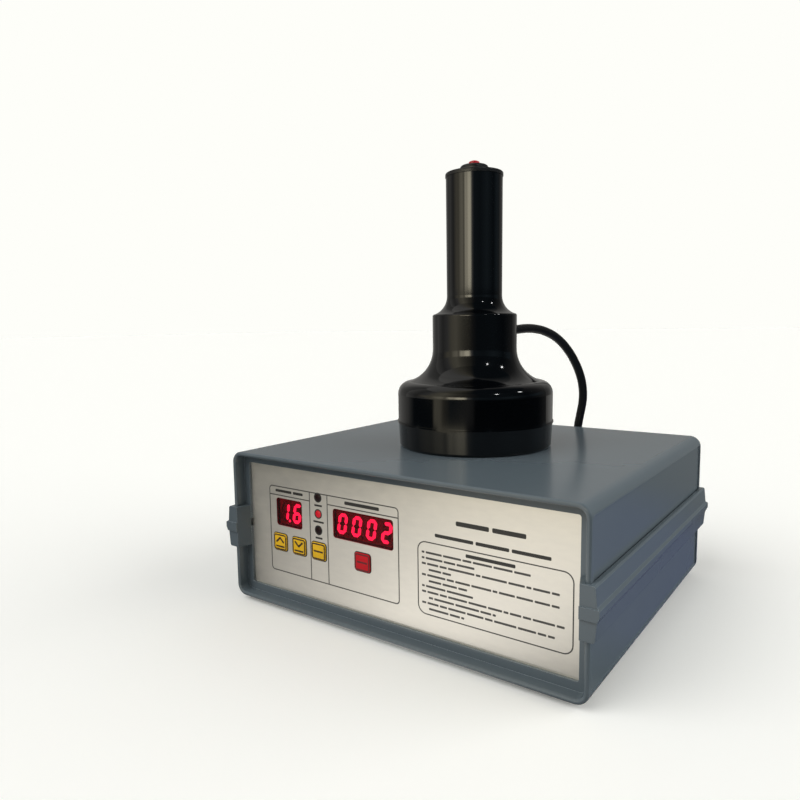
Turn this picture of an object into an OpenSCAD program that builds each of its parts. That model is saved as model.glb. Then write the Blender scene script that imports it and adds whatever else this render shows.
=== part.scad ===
/* [Case] */
// Width across the two shells, without the side strips
case_w = 270; // [256:1:320]
// Depth from the front rim to the rear rim
case_d = 240; // [228:1:300]
// Height of the two shells together
case_h = 108; // [104:1:140]
// Height of the bottom shell, up to the joint
split_h = 52; // [47:0.5:58]
// Wall of the shells
case_wall = 3; // [2.5:0.1:3.5]
// Radius of the long outer edges
case_r = 8; // [6:0.5:10]
// Step from those edges back to the side walls
edge_step = 0.8; // [0.4:0.1:1.2]
// Distance from a rim back to the panel held behind it
panel_setback = 10.5; // [9:0.5:13]
// Thickness of the ribs that hold the panels
rib_t = 2; // [1.5:0.1:2.5]
// Height of those ribs above the wall
rib_h = 5.5; // [4:0.5:7]
// Thickness of the front and rear plates
panel_t = 2; // [1.5:0.1:2.5]
// Thickness of the printed film on the front plate
film_t = 0.4; // [0.2:0.1:0.6]
// Diameter of a rubber foot
foot_d = 16; // [12:1:20]
// Height of a rubber foot
foot_h = 3; // [2:0.5:5]
// Distance of the feet from the sides of the case
foot_inset = 20; // [14:1:30]
// Length of an air slot in the floor
slot_l = 44; // [30:1:60]
// Width of an air slot in the floor
slot_w = 3; // [2:0.5:3.5]
// Width of the bars between air slots
slot_bar = 3.6; // [2.5:0.1:4]
// Number of air slots
slot_count = 6; // [3:1:7]
// Height of the gap in the panel ribs beside each strip
latch_h = 5.8; // [4:0.2:8]

/* [Side strips] */
// Height of a side strip
strip_h = 30; // [27:0.5:36]
// Thickness of a strip at its upper and lower edges
strip_t = 3.3; // [2.8:0.1:4]
// Growth of that thickness towards the ridge
strip_swell = 1; // [0.5:0.1:1.5]
// Height of the ridge along the middle of a strip
ridge_h = 8.4; // [7:0.2:11]
// How far the ridge stands out beyond the strip's edges
ridge_t = 2.6; // [2:0.1:3.5]
// How far the ridge stands out on the strip's end plates
ridge_end_t = 1; // [0.6:0.1:1.5]
// Thickness of the end plates and of the tongues behind them
hook_t = 1.9; // [1.5:0.1:2.3]
// Height of the joint rail on each shell, under the strip
rail_h = 7; // [5:0.5:9]
// How far the joint rails stand out from the shells
rail_t = 1.6; // [1.2:0.1:2]

/* [Control panel] */
// Distance from the case side to the left edge of the control field
control_inset = 27; // [24:0.5:32]
// From that edge to the middle of the time window
time_dx = 19.5; // [18:0.5:20]
// From that edge to the column of indicator lamps
lamp_dx = 47.5; // [46:0.5:49]
// From that edge to the middle of the count window
count_dx = 86.3; // [85:0.1:90]
// Width of the time window
time_w = 25; // [22:0.5:26]
// Width of the count window
count_w = 50.5; // [48:0.5:52]
// Height of both windows
window_h = 20; // [18:0.5:20.5]
// Corner radius of both windows
window_r = 2; // [1:0.1:3]
// Height of the windows' middle above the middle of the case
window_dz = 12; // [11.5:0.5:14]
// Height of the middle lamp above the middle of the case
lamp_dz = 16; // [13:0.5:18]
// Distance between lamps
lamp_pitch = 11.5; // [9:0.5:12]
// Diameter of a lamp
lamp_d = 5; // [4:0.5:5.5]
// Height of the keys' middle, against the middle of the case
key_dz = -10.4; // [-14:0.1:-9.5]
// Distance between the two setting keys
key_pitch = 18.6; // [17:0.2:20]
// Width of a key
key_w = 12.8; // [11:0.2:13.4]
// Height of a key
key_h = 12; // [10:0.2:13]
// Corner radius of a key
key_r = 1.8; // [1:0.2:2.5]
// How far a key stands out from the film
key_proud = 0.9; // [0.6:0.1:1.2]
// Travel of a key
key_travel = 0.7; // [0.4:0.1:0.8]
// Distance from the front plate to the control board
spacer_l = 8.3; // [8.3:0.1:11]
// Width of the control board
control_board_w = 124; // [123:1:128]
// Height of the control board
control_board_h = 62; // [60:1:66]

/* [Head] */
// Radius of the coil housing
head_r = 57.4; // [52:0.2:64]
// Height of the coil cover
cover_h = 19; // [18:0.5:23]
// Narrowing of the coil cover towards its foot
cover_draft = 0.9; // [0.3:0.1:1.5]
// How far the bead at the joint stands out
bead_t = 0.6; // [0.3:0.1:1]
// Height of the shoulder above the head's foot
shoulder_h = 48.2; // [45:0.2:56]
// Rounding of the shoulder
shoulder_r = 9; // [6:0.5:10]
// Radius of the neck
neck_r = 31.1; // [28:0.1:34]
// Radius of the hollow flare below the neck
flare_r = 25; // [20:0.5:26]
// Turn of that flare
flare_turn = 72; // [60:1:74]
// Height of the neck's top edge above the head's foot
neck_top = 97.5; // [95:0.5:110]
// Rounding of the neck's top edge
neck_edge_r = 1.6; // [1:0.1:2.4]
// Radius of the handle
grip_r = 20.3; // [18:0.1:22]
// Growth of the handle's radius towards its top
grip_swell = 0.3; // [0:0.1:1]
// Radius of the hollow flare below the handle
grip_flare_r = 14; // [10:0.5:15]
// Height of the handle's top above the head's foot
grip_top = 195.8; // [180:0.2:220]
// Wall of the head
head_wall = 3; // [2.5:0.1:3.5]
// Thickness of the cap on the handle
cap_t = 3; // [2.5:0.1:4]
// How far that cap stands out beyond the handle
cap_lip = 0.4; // [0.2:0.1:0.8]
// Radius of the trigger's bezel
bezel_r = 10.4; // [9.6:0.1:12]
// Height of the bezel above the cap
bezel_h = 5.4; // [4:0.1:7]
// Radius of the trigger button
trigger_r = 3.9; // [3.5:0.1:5]
// How far the trigger button stands out of its bezel
trigger_proud = 3.4; // [3.3:0.1:5]
// Travel of the trigger button
trigger_travel = 2.5; // [1:0.1:3]
// Number of ferrite bars above the coil
ferrite_count = 6; // [4:1:6]

/* [Rear panel] */
// Side of the fan frame
fan_side = 80; // [70:1:80]
// Depth of the fan frame
fan_t = 25; // [20:1:30]
// Distance of the fan's axis from the middle of the case
fan_x = 72; // [66:1:76]
// Number of fan blades
blade_count = 7; // [5:1:9]
// Distance of the mains inlet and switch from the middle of the case
inlet_x = -96; // [-98:1:-92]
// Height of the mains inlet's middle, against the middle of the case
inlet_dz = -20; // [-24:1:-18]
// Height of the mains switch's middle, against the middle of the case
rocker_dz = 21; // [18:1:26]
// Swing of the rocker from off to on
rocker_swing = 16; // [10:1:16]

/* [Power board] */
// Width of the power board
board_w = 146; // [140:1:150]
// Depth of the power board
board_d = 120; // [112:1:130]
// Height of the posts under the power board
post_h = 8; // [6:0.5:10]
// Length of the heat sink
sink_l = 96; // [80:1:110]
// Height of the heat sink
sink_h = 50; // [44:1:56]
// Length of the heat sink's fins
fin_l = 44; // [30:1:48]
// Number of fins
fin_count = 7; // [5:1:9]
// Diameter of a filter capacitor
capacitor_d = 25; // [20:1:28]
// Height of a filter capacitor
capacitor_h = 40; // [30:1:45]

/* [Cord] */
// Diameter of the cord between case and head
cord_d = 7.2; // [6:0.2:7.4]
// Height above the head's foot at which the cord leaves the neck
cord_exit_h = 85; // [83:0.5:88]
// Length of the strain relief outside the neck
boot_l = 15; // [12:0.5:16]

/* [Fits and fasteners] */
// Clearance of a piece that slides into its seat
seat_gap = 0.1; // [0.05:0.05:0.2]
// Clearance around a key, a lamp or the trigger button
key_gap = 0.3; // [0.2:0.05:0.4]
// Running clearance of a shaft or a pin
run_gap = 0.05; // [0.03:0.01:0.08]
// Diameter of the small screws
screw_d = 3; // [2.5:0.1:3.2]
// Diameter of the long screws that join the shells
shell_screw_d = 4; // [3.5:0.1:4.2]
// Thickness of a circuit board
board_t = 1.6; // [1:0.1:2]

/* [Hidden] */

$fn = 72;
// Depth by which fused features reach into each other
merge = 0.6;
// Excess of a cut beyond the face it opens
over = 1;

// Case levels and planes
half_w = case_w / 2;
half_d = case_d / 2;
z_floor = foot_h + case_wall;
z_split = foot_h + split_h;
z_mid = foot_h + case_h / 2;
z_top = foot_h + case_h;
y_film = -half_d + panel_setback;
y_plate = y_film + film_t;
y_plate_in = y_plate + panel_t;
y_rear_out = half_d - panel_setback;
y_rear_in = y_rear_out - panel_t;
y_rib_front_in = y_plate_in + seat_gap + rib_t;
y_rib_rear_in = y_rear_in - seat_gap - rib_t;
plate_inset = case_wall + seat_gap;
rib_inset = case_wall + rib_h;
inner_edge_r = 1.5;
slot_margin = 4;
rim_l = 4;
rim_r = case_wall / 2;
z_edge_drop = case_r - 1.5;

// Profile of the side strips
strip_cut = 0.9;
ridge_step = 1.3;
ridge_fall = 3.6;
ridge_end_h = 6.8;

// Posts that the long screws pass through
shell_post_r = shell_screw_d / 2 + 3.2;
shell_post_x = half_w - case_wall - shell_post_r + merge;
shell_post_y = [y_rib_front_in + shell_post_r + merge, y_rib_rear_in - shell_post_r - merge];
shell_head_r = shell_screw_d * 0.95;
shell_head_h = shell_screw_d * 0.7;
shell_seat_z = z_split - 5.5 * shell_screw_d;
shell_bite = 4 * shell_screw_d;

// Columns and rows of the control panel
control_x = -half_w + control_inset;
time_x = control_x + time_dx;
lamp_x = control_x + lamp_dx;
count_x = control_x + count_dx;
window_z = z_mid + window_dz;
lamp_z = z_mid + lamp_dz;
key_z = z_mid + key_dz;
window_recess = 0.1;
y_control = y_plate_in + spacer_l;
flange_t = 1;
flange_lip = 1.2;
tact_side = 6;
tact_h = 3.4;
tact_plunger_h = 0.9;
tact_plunger_r = 1.7;
key_rest_gap = 0.15;
y_key_flange = y_plate_in + key_gap;
y_key_end = y_control - tact_h - tact_plunger_h - key_rest_gap - key_travel;
lamp_lip = 0.5;
lamp_flange_t = 1;
lamp_proud = 0.7;
lamp_leg_r = 0.35;
lamp_leg_pitch = 2.54;
display_gap = 0.3;
control_board_dx = 59;
control_board_dz = 6;
control_board_x = control_x + control_board_dx;
control_board_z = z_mid + control_board_dz;
spacer_r = 3;
spacer_inset = 4.5;

// Power board and what stands on it
small_head_r = screw_d * 0.92;
small_head_h = screw_d * 0.65;
small_bite = 2 * screw_d;
post_r = screw_d / 2 + 2.5;
z_board = z_floor + post_h;
z_board_top = z_board + board_t;
sink_x = 36;
sink_base_t = 5;
fin_t = 2;
board_x = sink_x - 0.5 - board_w / 2;
board_y = 2;
board_hole_inset = 5;
transistor_w = 16;
transistor_h = 21;
transistor_t = 5;
transistor_lift = 9;
leg_w = 1.4;
leg_t = 0.8;
leg_pitch = 5.4;
sink_screw_r = 1.7;

// Fan
fan_bore_r = fan_side / 2 - 2;
fan_hub_r = fan_side * 0.2;
fan_hole_pitch = fan_side * 0.894;
fan_corner_r = 4;
fan_hub_t = 4;
fan_strut_w = 4;
fan_strut_t = 3;
fan_tip_gap = 0.8;
fan_face_gap = 0.5;
fan_shaft_r = 2;
blade_t = 1.6;
blade_pitch = 40;
guard_t = 1.8;
guard_bar = 2;
guard_pitch = 7.5;
guard_lug_r = 4.6;

// Mains inlet
inlet_z = z_mid + inlet_dz;
inlet_flange_w = 50;
inlet_flange_h = 22.6;
inlet_flange_t = 2.4;
inlet_flange_r = 5;
inlet_body_w = 27.6;
inlet_body_h = 20;
inlet_body_l = 20;
inlet_mouth_w = 24.2;
inlet_mouth_h = 16.6;
inlet_mouth_cut = 4.6;
inlet_mouth_l = 16.4;
inlet_screw_pitch = 40;
inlet_gap = 0.2;
pin_l = 12;
pin_tail = 9;
pin_t = 2;
pin_h = 4;
pin_dx = 7;
pin_dz = -2;
earth_dz = 2;

// Mains switch
rocker_z = z_mid + rocker_dz;
rocker_w = 12;
rocker_l = 17.2;
rocker_rise = 5.2;
rocker_dip = 3.5;
rocker_root = 2;
rocker_pin_r = 1.5;
rocker_pin_l = 1.4;
rocker_side_gap = 0.3;
rocker_end_gap = 1.3;
switch_wall = 2;
switch_bezel_t = 2.2;
switch_bezel_lip = 1.6;
switch_body_l = 15;
y_pivot = y_rear_out;
rocker_room = 8;

// Head levels and radii
neck_from = shoulder_h + flare_r * sin(flare_turn);
flare_foot_r = neck_r + flare_r * (1 - cos(flare_turn));
grip_flare_turn = acos(1 - (neck_r - neck_edge_r - grip_r) / grip_flare_r);
grip_from = neck_top + grip_flare_r * sin(grip_flare_turn);
bay_r = head_r - head_wall;
bay_top = shoulder_h - 5;
neck_bore_r = neck_r - head_wall;
neck_bore_top = neck_top - 5;
grip_bore_r = grip_r - head_wall;
cover_foot_r = 2;
bead_h = 1.1;
spigot_h = 4;
spigot_t = 2;
cover_post_r = screw_d / 2 + 2.4;
cover_post_ring = bay_r - seat_gap - spigot_t - cover_post_r - 0.4;
cover_screw_count = 4;
cover_head_z = 1;
cover_bite = 12;
former_r = cover_post_ring - cover_post_r - 0.6;
former_t = 3;
former_hub_r = 7;
former_hub_h = 8;
litz_r = 2.1;
litz_pitch = 3.8;
litz_from = former_hub_r + litz_r + 0.4;
litz_turns = floor((former_r - litz_r - litz_from) / litz_pitch) + 1;
z_coil = head_wall + former_t + litz_r;
z_ferrite = z_coil + litz_r;
ferrite_h = 5;
ferrite_w = 9;
ferrite_from = former_hub_r + 3;
ferrite_l = former_r - ferrite_from - 1;

// Trigger
z_cap = grip_top + cap_t;
z_bezel = z_cap + bezel_h;
cap_plug_l = 8;
cap_plug_wall = 3;
cap_edge_r = 1.2;
bezel_edge_r = 2.6;
barrel_r = bezel_r - 2.4;
barrel_l = 15;
barrel_wall = 1.6;
trigger_neck_l = 3;
trigger_flange_t = 1.6;
trigger_flange_lip = 1.2;
trigger_stem_r = 2;
trigger_dome = 1.2;
trigger_nut_t = 3;
trigger_nut_r = barrel_r + 3.6;
switch_can_l = 18;
switch_tab_l = 7;

// Cord, its strain relief, its gland and its coil
cord_r = cord_d / 2;
cord_sides = 10;
cord_gap = 0.15;
cord_turn = 79.5;
boot_wall_r = cord_r + 2;
boot_flange_r = boot_wall_r + 1.8;
boot_flange_t = 1.8;
boot_tip_r = cord_r + 0.9;
gland_x = -47;
gland_z = 28;
gland_thread_r = 7.5;
gland_thread_l = 9;
gland_hex_r = 10.8;
gland_hex_t = 5;
gland_nut_r = 10;
gland_nut_t = 9;
gland_dome_t = 5;
gland_tip_r = cord_r + 1.6;
locknut_t = 4.5;
tie_t = 0.8;
tie_turn = 62;
tie_spread = 20;
coil_x = -9;
coil_y = 185;
coil_in_r = 38;
coil_out_r = 45.4;
coil_layers = 2;
head_route = [
  [6.6, 36, 196], [9.3, 50, 196.2], [11.9, 62, 196.9], [14.6, 74, 196.4], [18, 87, 194],
  [22.6, 102, 187.6], [26.8, 114, 177.8], [29.8, 123, 167], [31.9, 130, 155.4], [33, 134, 143.5],
  [32.4, 136, 132.2], [30.4, 136.4, 120.8], [28.6, 136, 110], [27.2, 135.4, 92], [27, 135.4, 74],
  [27.8, 137, 56], [29.6, 142, 38.5], [32.2, 151, 22.5], [34.6, 162.5, 11], [36, 175, 5.6]
];
tail_route = [
  [-47, 173, 12.4], [-47, 162, 15.4], [-47, 151.5, 21], [-47, 141, 26], [-47, 130, 28], [-47, 118, 28]
];

// Rounded rectangle about the origin
module rounded_rect(w, h, r) {
  square([w - 2 * r, h], center = true);
  square([w, h - 2 * r], center = true);
  for (sx = [-1, 1], sy = [-1, 1])
    translate([sx * (w / 2 - r), sy * (h / 2 - r)])
      circle(r);
}

// Extrudes a section drawn in X and Z from one depth to another
module along_y(y_from, y_to) {
  translate([0, y_to, 0])
    rotate([90, 0, 0])
      linear_extrude(y_to - y_from)
        children();
}

// Round bar along Y
module bar_y(r, y_from, y_to) {
  along_y(y_from, y_to)
    circle(r);
}

// Cylinder between two heights
module post(r, z_from, z_to) {
  translate([0, 0, z_from])
    cylinder(r = r, h = z_to - z_from);
}

// Outline of the case, drawn in X and Z, moved in from the outside by inset
module case_outline(inset) {
  translate([0, z_mid])
    rounded_rect(case_w - 2 * inset, case_h - 2 * inset, max(case_r - inset, inner_edge_r));
}

// Band of the case wall between two insets, between two depths and two heights
module case_band(inset_out, inset_in, y_from, y_to, z_from, z_to) {
  along_y(y_from, y_to)
    intersection() {
      difference() {
        case_outline(inset_out);
        case_outline(inset_in);
      }
      translate([-case_w, z_from])
        square([2 * case_w, z_to - z_from]);
    }
}

// Half-round edge along one shell's part of the front rim; side is 1 for the top shell, -1 for the bottom
module rim_bead(side) {
  z_corner = z_mid + side * (case_h / 2 - case_r);
  x_corner = half_w - case_r;
  translate([0, -half_d + rim_r, 0]) {
    translate([0, 0, z_mid + side * (case_h / 2 - rim_r)])
      rotate([0, 90, 0])
        cylinder(r = rim_r, h = 2 * x_corner, center = true);
    for (sx = [-1, 1]) {
      translate([sx * (half_w - rim_r), 0, 0])
        post(rim_r, min(z_split, z_corner), max(z_split, z_corner));
      translate([sx * x_corner, 0, z_corner])
        rotate([90, 0, 0])
          rotate([0, 0, side * 45 + (sx < 0 ? side * 90 : 0) - 45])
            rotate_extrude(angle = 90)
              translate([case_r - rim_r, 0])
                circle(rim_r);
    }
  }
}

// Wall with stepped sides and rounded rims, panel ribs with their gaps, and joint rails of one shell
module shell_walls(z_from, z_to, rail_from, side) {
  z_rail = side > 0 ? rail_from + rail_h : rail_from;
  z_edge = z_mid + side * (case_h / 2 - z_edge_drop);
  difference() {
    union() {
      case_band(0, case_wall, -half_d + rim_r, half_d - rim_r, z_from, z_to);
      for (turn = [0, 180])
        rotate([0, 0, turn])
          rim_bead(side);
    }
    for (sx = [-1, 1])
      translate([sx * half_w, 0, (z_rail + z_edge) / 2])
        cube([2 * edge_step, case_d - 2 * rim_l, abs(z_edge - z_rail)], center = true);
  }
  difference() {
    for (y = [y_film - rib_t, y_plate_in + seat_gap, y_rear_out, y_rib_rear_in])
      case_band(case_wall - merge, rib_inset, y, y + rib_t, z_from, z_to);
    for (sx = [-1, 1], sy = [-1, 1])
      translate([
        sx * (half_w - case_wall - rib_h / 2 - over / 2), sy * (half_d - panel_setback + rib_t / 2), z_mid
      ])
        cube([rib_h + over, rib_t + seat_gap, latch_h], center = true);
  }
  for (sx = [-1, 1])
    along_y(-half_d, half_d)
      translate([sx * (half_w - merge + (rail_t + merge) / 2), rail_from + rail_h / 2])
        square([rail_t + merge, rail_h], center = true);
}

// Places children at the four long screws
module at_shell_posts() {
  for (sx = [-1, 1], y = shell_post_y)
    translate([sx * shell_post_x, y, 0])
      children();
}

// Places children at the holes of the power board
module at_board_holes() {
  for (sx = [-1, 1], sy = [-1, 1])
    translate([
      board_x + sx * (board_w / 2 - board_hole_inset),
      board_y + sy * (board_d / 2 - board_hole_inset), 0
    ])
      children();
}

// Places children at the feet
module at_feet() {
  for (sx = [-1, 1], sy = [-1, 1])
    translate([sx * (half_w - foot_inset), sy * (half_d - foot_inset), 0])
      children();
}

// Places children under the heat sink
module at_sink_posts() {
  for (sy = [-1, 1])
    translate([sink_x + sink_base_t + fin_l / 2, board_y + sy * (sink_l / 2 - post_r - 2), 0])
      children();
}

module bottom_shell() {
  slot_step = slot_w + slot_bar;
  slot_from = board_y - sink_l / 2 - slot_margin - slot_w;
  color("slategray")
    difference() {
      union() {
        shell_walls(foot_h, z_split, z_split - rail_h, -1);
        at_shell_posts()
          post(shell_post_r, z_floor - merge, z_split);
        at_board_holes()
          post(post_r, z_floor - merge, z_board);
        at_sink_posts()
          post(post_r, z_floor - merge, z_board);
      }
      at_shell_posts() {
        post(shell_screw_d / 2 + seat_gap, foot_h - over, z_split + over);
        post(shell_head_r + seat_gap, foot_h - over, shell_seat_z);
      }
      at_board_holes()
        post(screw_d / 2 + seat_gap, z_board - small_bite, z_board + over);
      for (i = [0 : slot_count - 1])
        translate([sink_x + sink_base_t + (fin_l - slot_l) / 2, slot_from - i * slot_step, foot_h - over])
          cube([slot_l, slot_w, case_wall + 2 * over]);
    }
}

module top_shell() {
  color("slategray")
    difference() {
      union() {
        shell_walls(z_split, z_top, z_split, 1);
        at_shell_posts()
          post(shell_post_r, z_split, z_top - case_wall + merge);
      }
      at_shell_posts()
        post(shell_screw_d / 2 + seat_gap, z_split - over, z_split + shell_bite);
    }
}

// Section of the right strip, outside the case wall: steep above the ridge, sloping below it
module strip_section() {
  edge = strip_h / 2;
  ridge = ridge_h / 2;
  full = strip_t + ridge_t;
  flank = strip_t + strip_swell;
  translate([half_w, z_split])
    difference() {
      polygon([
        [seat_gap, -edge], [strip_t - strip_cut, -edge], [strip_t, -edge + strip_cut], [flank, -ridge],
        [full, -ridge + ridge_fall], [full, ridge - ridge_step], [flank, ridge], [strip_t, edge - strip_cut],
        [strip_t - strip_cut, edge], [seat_gap, edge]
      ]);
      square([2 * (rail_t + seat_gap), 2 * (rail_h + seat_gap)], center = true);
    }
}

// End plate of the right strip, with the strip's own section beside it
module strip_end_section(x_in) {
  strip_section();
  translate([x_in, z_split - strip_h / 2])
    square([half_w + strip_t - strip_cut - seat_gap - x_in, strip_h]);
}

// Right strip, with an end plate and a tongue that grips the rim at either end
module strip_right_form() {
  y_end = half_d + seat_gap;
  x_in = half_w - case_wall - seat_gap - hook_t;
  tongue_l = panel_setback - rib_t - seat_gap;
  along_y(-y_end, y_end)
    strip_section();
  for (turn = [0, 180])
    rotate([0, 0, turn])
      mirror([turn / 180, 0, 0]) {
        along_y(-y_end - hook_t, -y_end)
          strip_end_section(x_in);
        along_y(-y_end - hook_t - ridge_end_t, -y_end - hook_t + merge)
          intersection() {
            strip_end_section(x_in);
            translate([half_w, z_split])
              square([case_w, ridge_end_h], center = true);
          }
        translate([0, 0, z_split - strip_h / 2])
          linear_extrude(strip_h)
            polygon([
              [x_in, -y_end - hook_t], [x_in + hook_t, -y_end - hook_t], [x_in + hook_t, -half_d + tongue_l],
              [half_w - rib_inset, -half_d + tongue_l]
            ]);
      }
}

module side_strip_right() {
  color("slategray")
    strip_right_form();
}

module side_strip_left() {
  color("slategray")
    mirror([1, 0, 0])
      strip_right_form();
}

// Places a flat outline on the front panel at a column and a row
module on_panel(x, z) {
  translate([x, z])
    children();
}

// Every cut-out that the front plate and its film share
module panel_cuts() {
  on_panel(time_x, window_z)
    rounded_rect(time_w + 2 * seat_gap, window_h + 2 * seat_gap, window_r + seat_gap);
  on_panel(count_x, window_z)
    rounded_rect(count_w + 2 * seat_gap, window_h + 2 * seat_gap, window_r + seat_gap);
  for (step = [-1, 0, 1])
    on_panel(lamp_x, lamp_z + step * lamp_pitch)
      circle(lamp_d / 2 + seat_gap);
  for (x = [time_x - key_pitch / 2, time_x + key_pitch / 2, lamp_x, count_x])
    on_panel(x, key_z)
      rounded_rect(key_w + 2 * key_gap, key_h + 2 * key_gap, key_r + key_gap);
}

module front_panel() {
  color("silver")
    along_y(y_plate, y_plate_in)
      difference() {
        case_outline(plate_inset);
        panel_cuts();
      }
}

module panel_film() {
  color("lightgray")
    along_y(y_film, y_plate)
      difference() {
        case_outline(plate_inset);
        panel_cuts();
      }
}

// Tinted window in its cut-out
module window_pane(x, w) {
  along_y(y_film + window_recess, y_plate_in)
    on_panel(x, window_z)
      rounded_rect(w, window_h, window_r);
}

module count_window() {
  color("maroon")
    window_pane(count_x, count_w);
}

module time_window() {
  color("maroon")
    window_pane(time_x, time_w);
}

// Digit module between a window and the control board, with a row of stepped digit blocks
module digit_module(x, w, digits) {
  case_gap = 1;
  face_step = 0.8;
  along_y(y_plate_in + display_gap + face_step, y_control)
    on_panel(x, window_z)
      square([w - case_gap, window_h - case_gap], center = true);
  digit_w = (w - case_gap) / digits;
  for (i = [0 : digits - 1])
    along_y(y_plate_in + display_gap, y_plate_in + display_gap + 2 * face_step)
      on_panel(x + (i - (digits - 1) / 2) * digit_w, window_z)
        square([digit_w - 2 * case_gap, window_h - 4 * case_gap], center = true);
}

module count_display() {
  color("black")
    digit_module(count_x, count_w, 4);
}

module time_display() {
  color("black")
    digit_module(time_x, time_w, 2);
}

// Indicator lamp: domed body, rim behind the plate and two legs to the control board
module lamp(z) {
  lens_r = lamp_d / 2;
  dome_r = (lens_r * lens_r + lamp_proud * lamp_proud) / (2 * lamp_proud);
  y_rim = y_plate_in + seat_gap;
  translate([lamp_x, 0, z]) {
    bar_y(lens_r, y_film, y_rim + merge);
    intersection() {
      translate([0, y_film - lamp_proud + dome_r, 0])
        sphere(dome_r);
      bar_y(lens_r, y_film - lamp_proud - over, y_film + merge);
    }
    bar_y(lens_r + lamp_lip, y_rim, y_rim + lamp_flange_t);
    for (sx = [-1, 1])
      translate([sx * lamp_leg_pitch / 2, 0, 0])
        bar_y(lamp_leg_r, y_rim + lamp_flange_t - merge, y_control);
  }
}

module lamp_high() {
  color("darkred")
    lamp(lamp_z + lamp_pitch);
}

module lamp_middle() {
  color("red")
    lamp(lamp_z);
}

module lamp_low() {
  color("darkred")
    lamp(lamp_z - lamp_pitch);
}

// Key cap in its hole, with a rim behind the plate and a stem towards its switch
module key_cap(x) {
  stem_r = 2.4;
  translate([x, 0, key_z]) {
    along_y(y_film - key_proud, y_key_flange + merge)
      rounded_rect(key_w, key_h, key_r);
    along_y(y_key_flange, y_key_flange + flange_t)
      rounded_rect(key_w + 2 * flange_lip, key_h + 2 * flange_lip, key_r);
    bar_y(stem_r, y_key_flange + flange_t - merge, y_key_end);
  }
}

module key_increase() {
  color("gold")
    key_cap(time_x - key_pitch / 2);
}

module key_reduce() {
  color("gold")
    key_cap(time_x + key_pitch / 2);
}

module key_power() {
  color("gold")
    key_cap(lamp_x);
}

module key_reset() {
  color("crimson")
    key_cap(count_x);
}

module key_switches() {
  color("dimgray")
    for (x = [time_x - key_pitch / 2, time_x + key_pitch / 2, lamp_x, count_x])
      translate([x, 0, key_z]) {
        along_y(y_control - tact_h, y_control)
          square(tact_side, center = true);
        bar_y(tact_plunger_r, y_control - tact_h - tact_plunger_h, y_control - tact_h + merge);
      }
}

// Places children at the corners of the control board
module at_control_holes() {
  for (sx = [-1, 1], sz = [-1, 1])
    translate([
      control_board_x + sx * (control_board_w / 2 - spacer_inset), 0,
      control_board_z + sz * (control_board_h / 2 - spacer_inset)
    ])
      children();
}

module control_board() {
  color("darkgreen")
    difference() {
      along_y(y_control, y_control + board_t)
        translate([control_board_x, control_board_z])
          square([control_board_w, control_board_h], center = true);
      at_control_holes()
        bar_y(screw_d / 2 + seat_gap, y_control - over, y_control + board_t + over);
    }
}

module control_spacers() {
  color("goldenrod")
    at_control_holes()
      difference() {
        bar_y(spacer_r, y_plate_in, y_control);
        bar_y(screw_d / 2 + seat_gap, y_control - small_bite, y_control + over);
      }
}

module control_screws() {
  color("gainsboro")
    at_control_holes() {
      bar_y(screw_d / 2, y_control + board_t - small_bite, y_control + board_t + merge);
      bar_y(small_head_r, y_control + board_t, y_control + board_t + small_head_h);
    }
}

module power_board() {
  color("darkgreen")
    difference() {
      translate([board_x - board_w / 2, board_y - board_d / 2, z_board])
        cube([board_w, board_d, board_t]);
      at_board_holes()
        post(screw_d / 2 + seat_gap, z_board - over, z_board_top + over);
    }
}

module power_board_screws() {
  color("gainsboro")
    at_board_holes() {
      post(screw_d / 2, z_board_top - small_bite, z_board_top + merge);
      post(small_head_r, z_board_top, z_board_top + small_head_h);
    }
}

module heat_sink() {
  fin_step = (sink_h - fin_t) / (fin_count - 1);
  color("silver")
    along_y(board_y - sink_l / 2, board_y + sink_l / 2)
      translate([sink_x, z_board])
        union() {
          square([sink_base_t, sink_h]);
          for (i = [0 : fin_count - 1])
            translate([sink_base_t - merge, i * fin_step])
              square([fin_l + merge, fin_t]);
        }
}

// Power transistors flat against the heat sink, their legs in the power board
module power_transistors() {
  color("black")
    for (sy = [-1, 1])
      translate([sink_x, board_y + sy * sink_l / 4, z_board_top]) {
        difference() {
          translate([-transistor_t, -transistor_w / 2, transistor_lift])
            cube([transistor_t, transistor_w, transistor_h]);
          translate([over, 0, transistor_lift + transistor_h - 5])
            rotate([0, -90, 0])
              cylinder(r = sink_screw_r, h = transistor_t + 2 * over);
        }
        for (i = [-1, 0, 1])
          translate([-transistor_t / 2 - leg_t / 2, i * leg_pitch - leg_w / 2, 0])
            cube([leg_t, leg_w, transistor_lift + merge]);
      }
}

module bridge_rectifier() {
  bridge_w = 30;
  bridge_t = 6;
  bridge_h = 20;
  bevel = 4;
  bridge_inset = 14;
  color("black")
    along_y(board_y - bridge_t / 2, board_y + bridge_t / 2)
      translate([board_x + board_w / 2 - bridge_w - bridge_inset, z_board_top])
        polygon([
          [0, 0], [bridge_w, 0], [bridge_w, bridge_h], [bevel, bridge_h], [0, bridge_h - bevel]
        ]);
}

module filter_capacitors() {
  lip_r = 1.5;
  color("midnightblue")
    for (sy = [-1, 1])
      translate([board_x, board_y + sy * (capacitor_d / 2 + 1), z_board_top])
        rotate_extrude()
          difference() {
            intersection() {
              translate([0, capacitor_h / 2])
                rounded_rect(capacitor_d, capacitor_h, lip_r);
              square([capacitor_d, capacitor_h]);
            }
            translate([capacitor_d / 2, 5])
              circle(0.9);
          }
}

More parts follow.
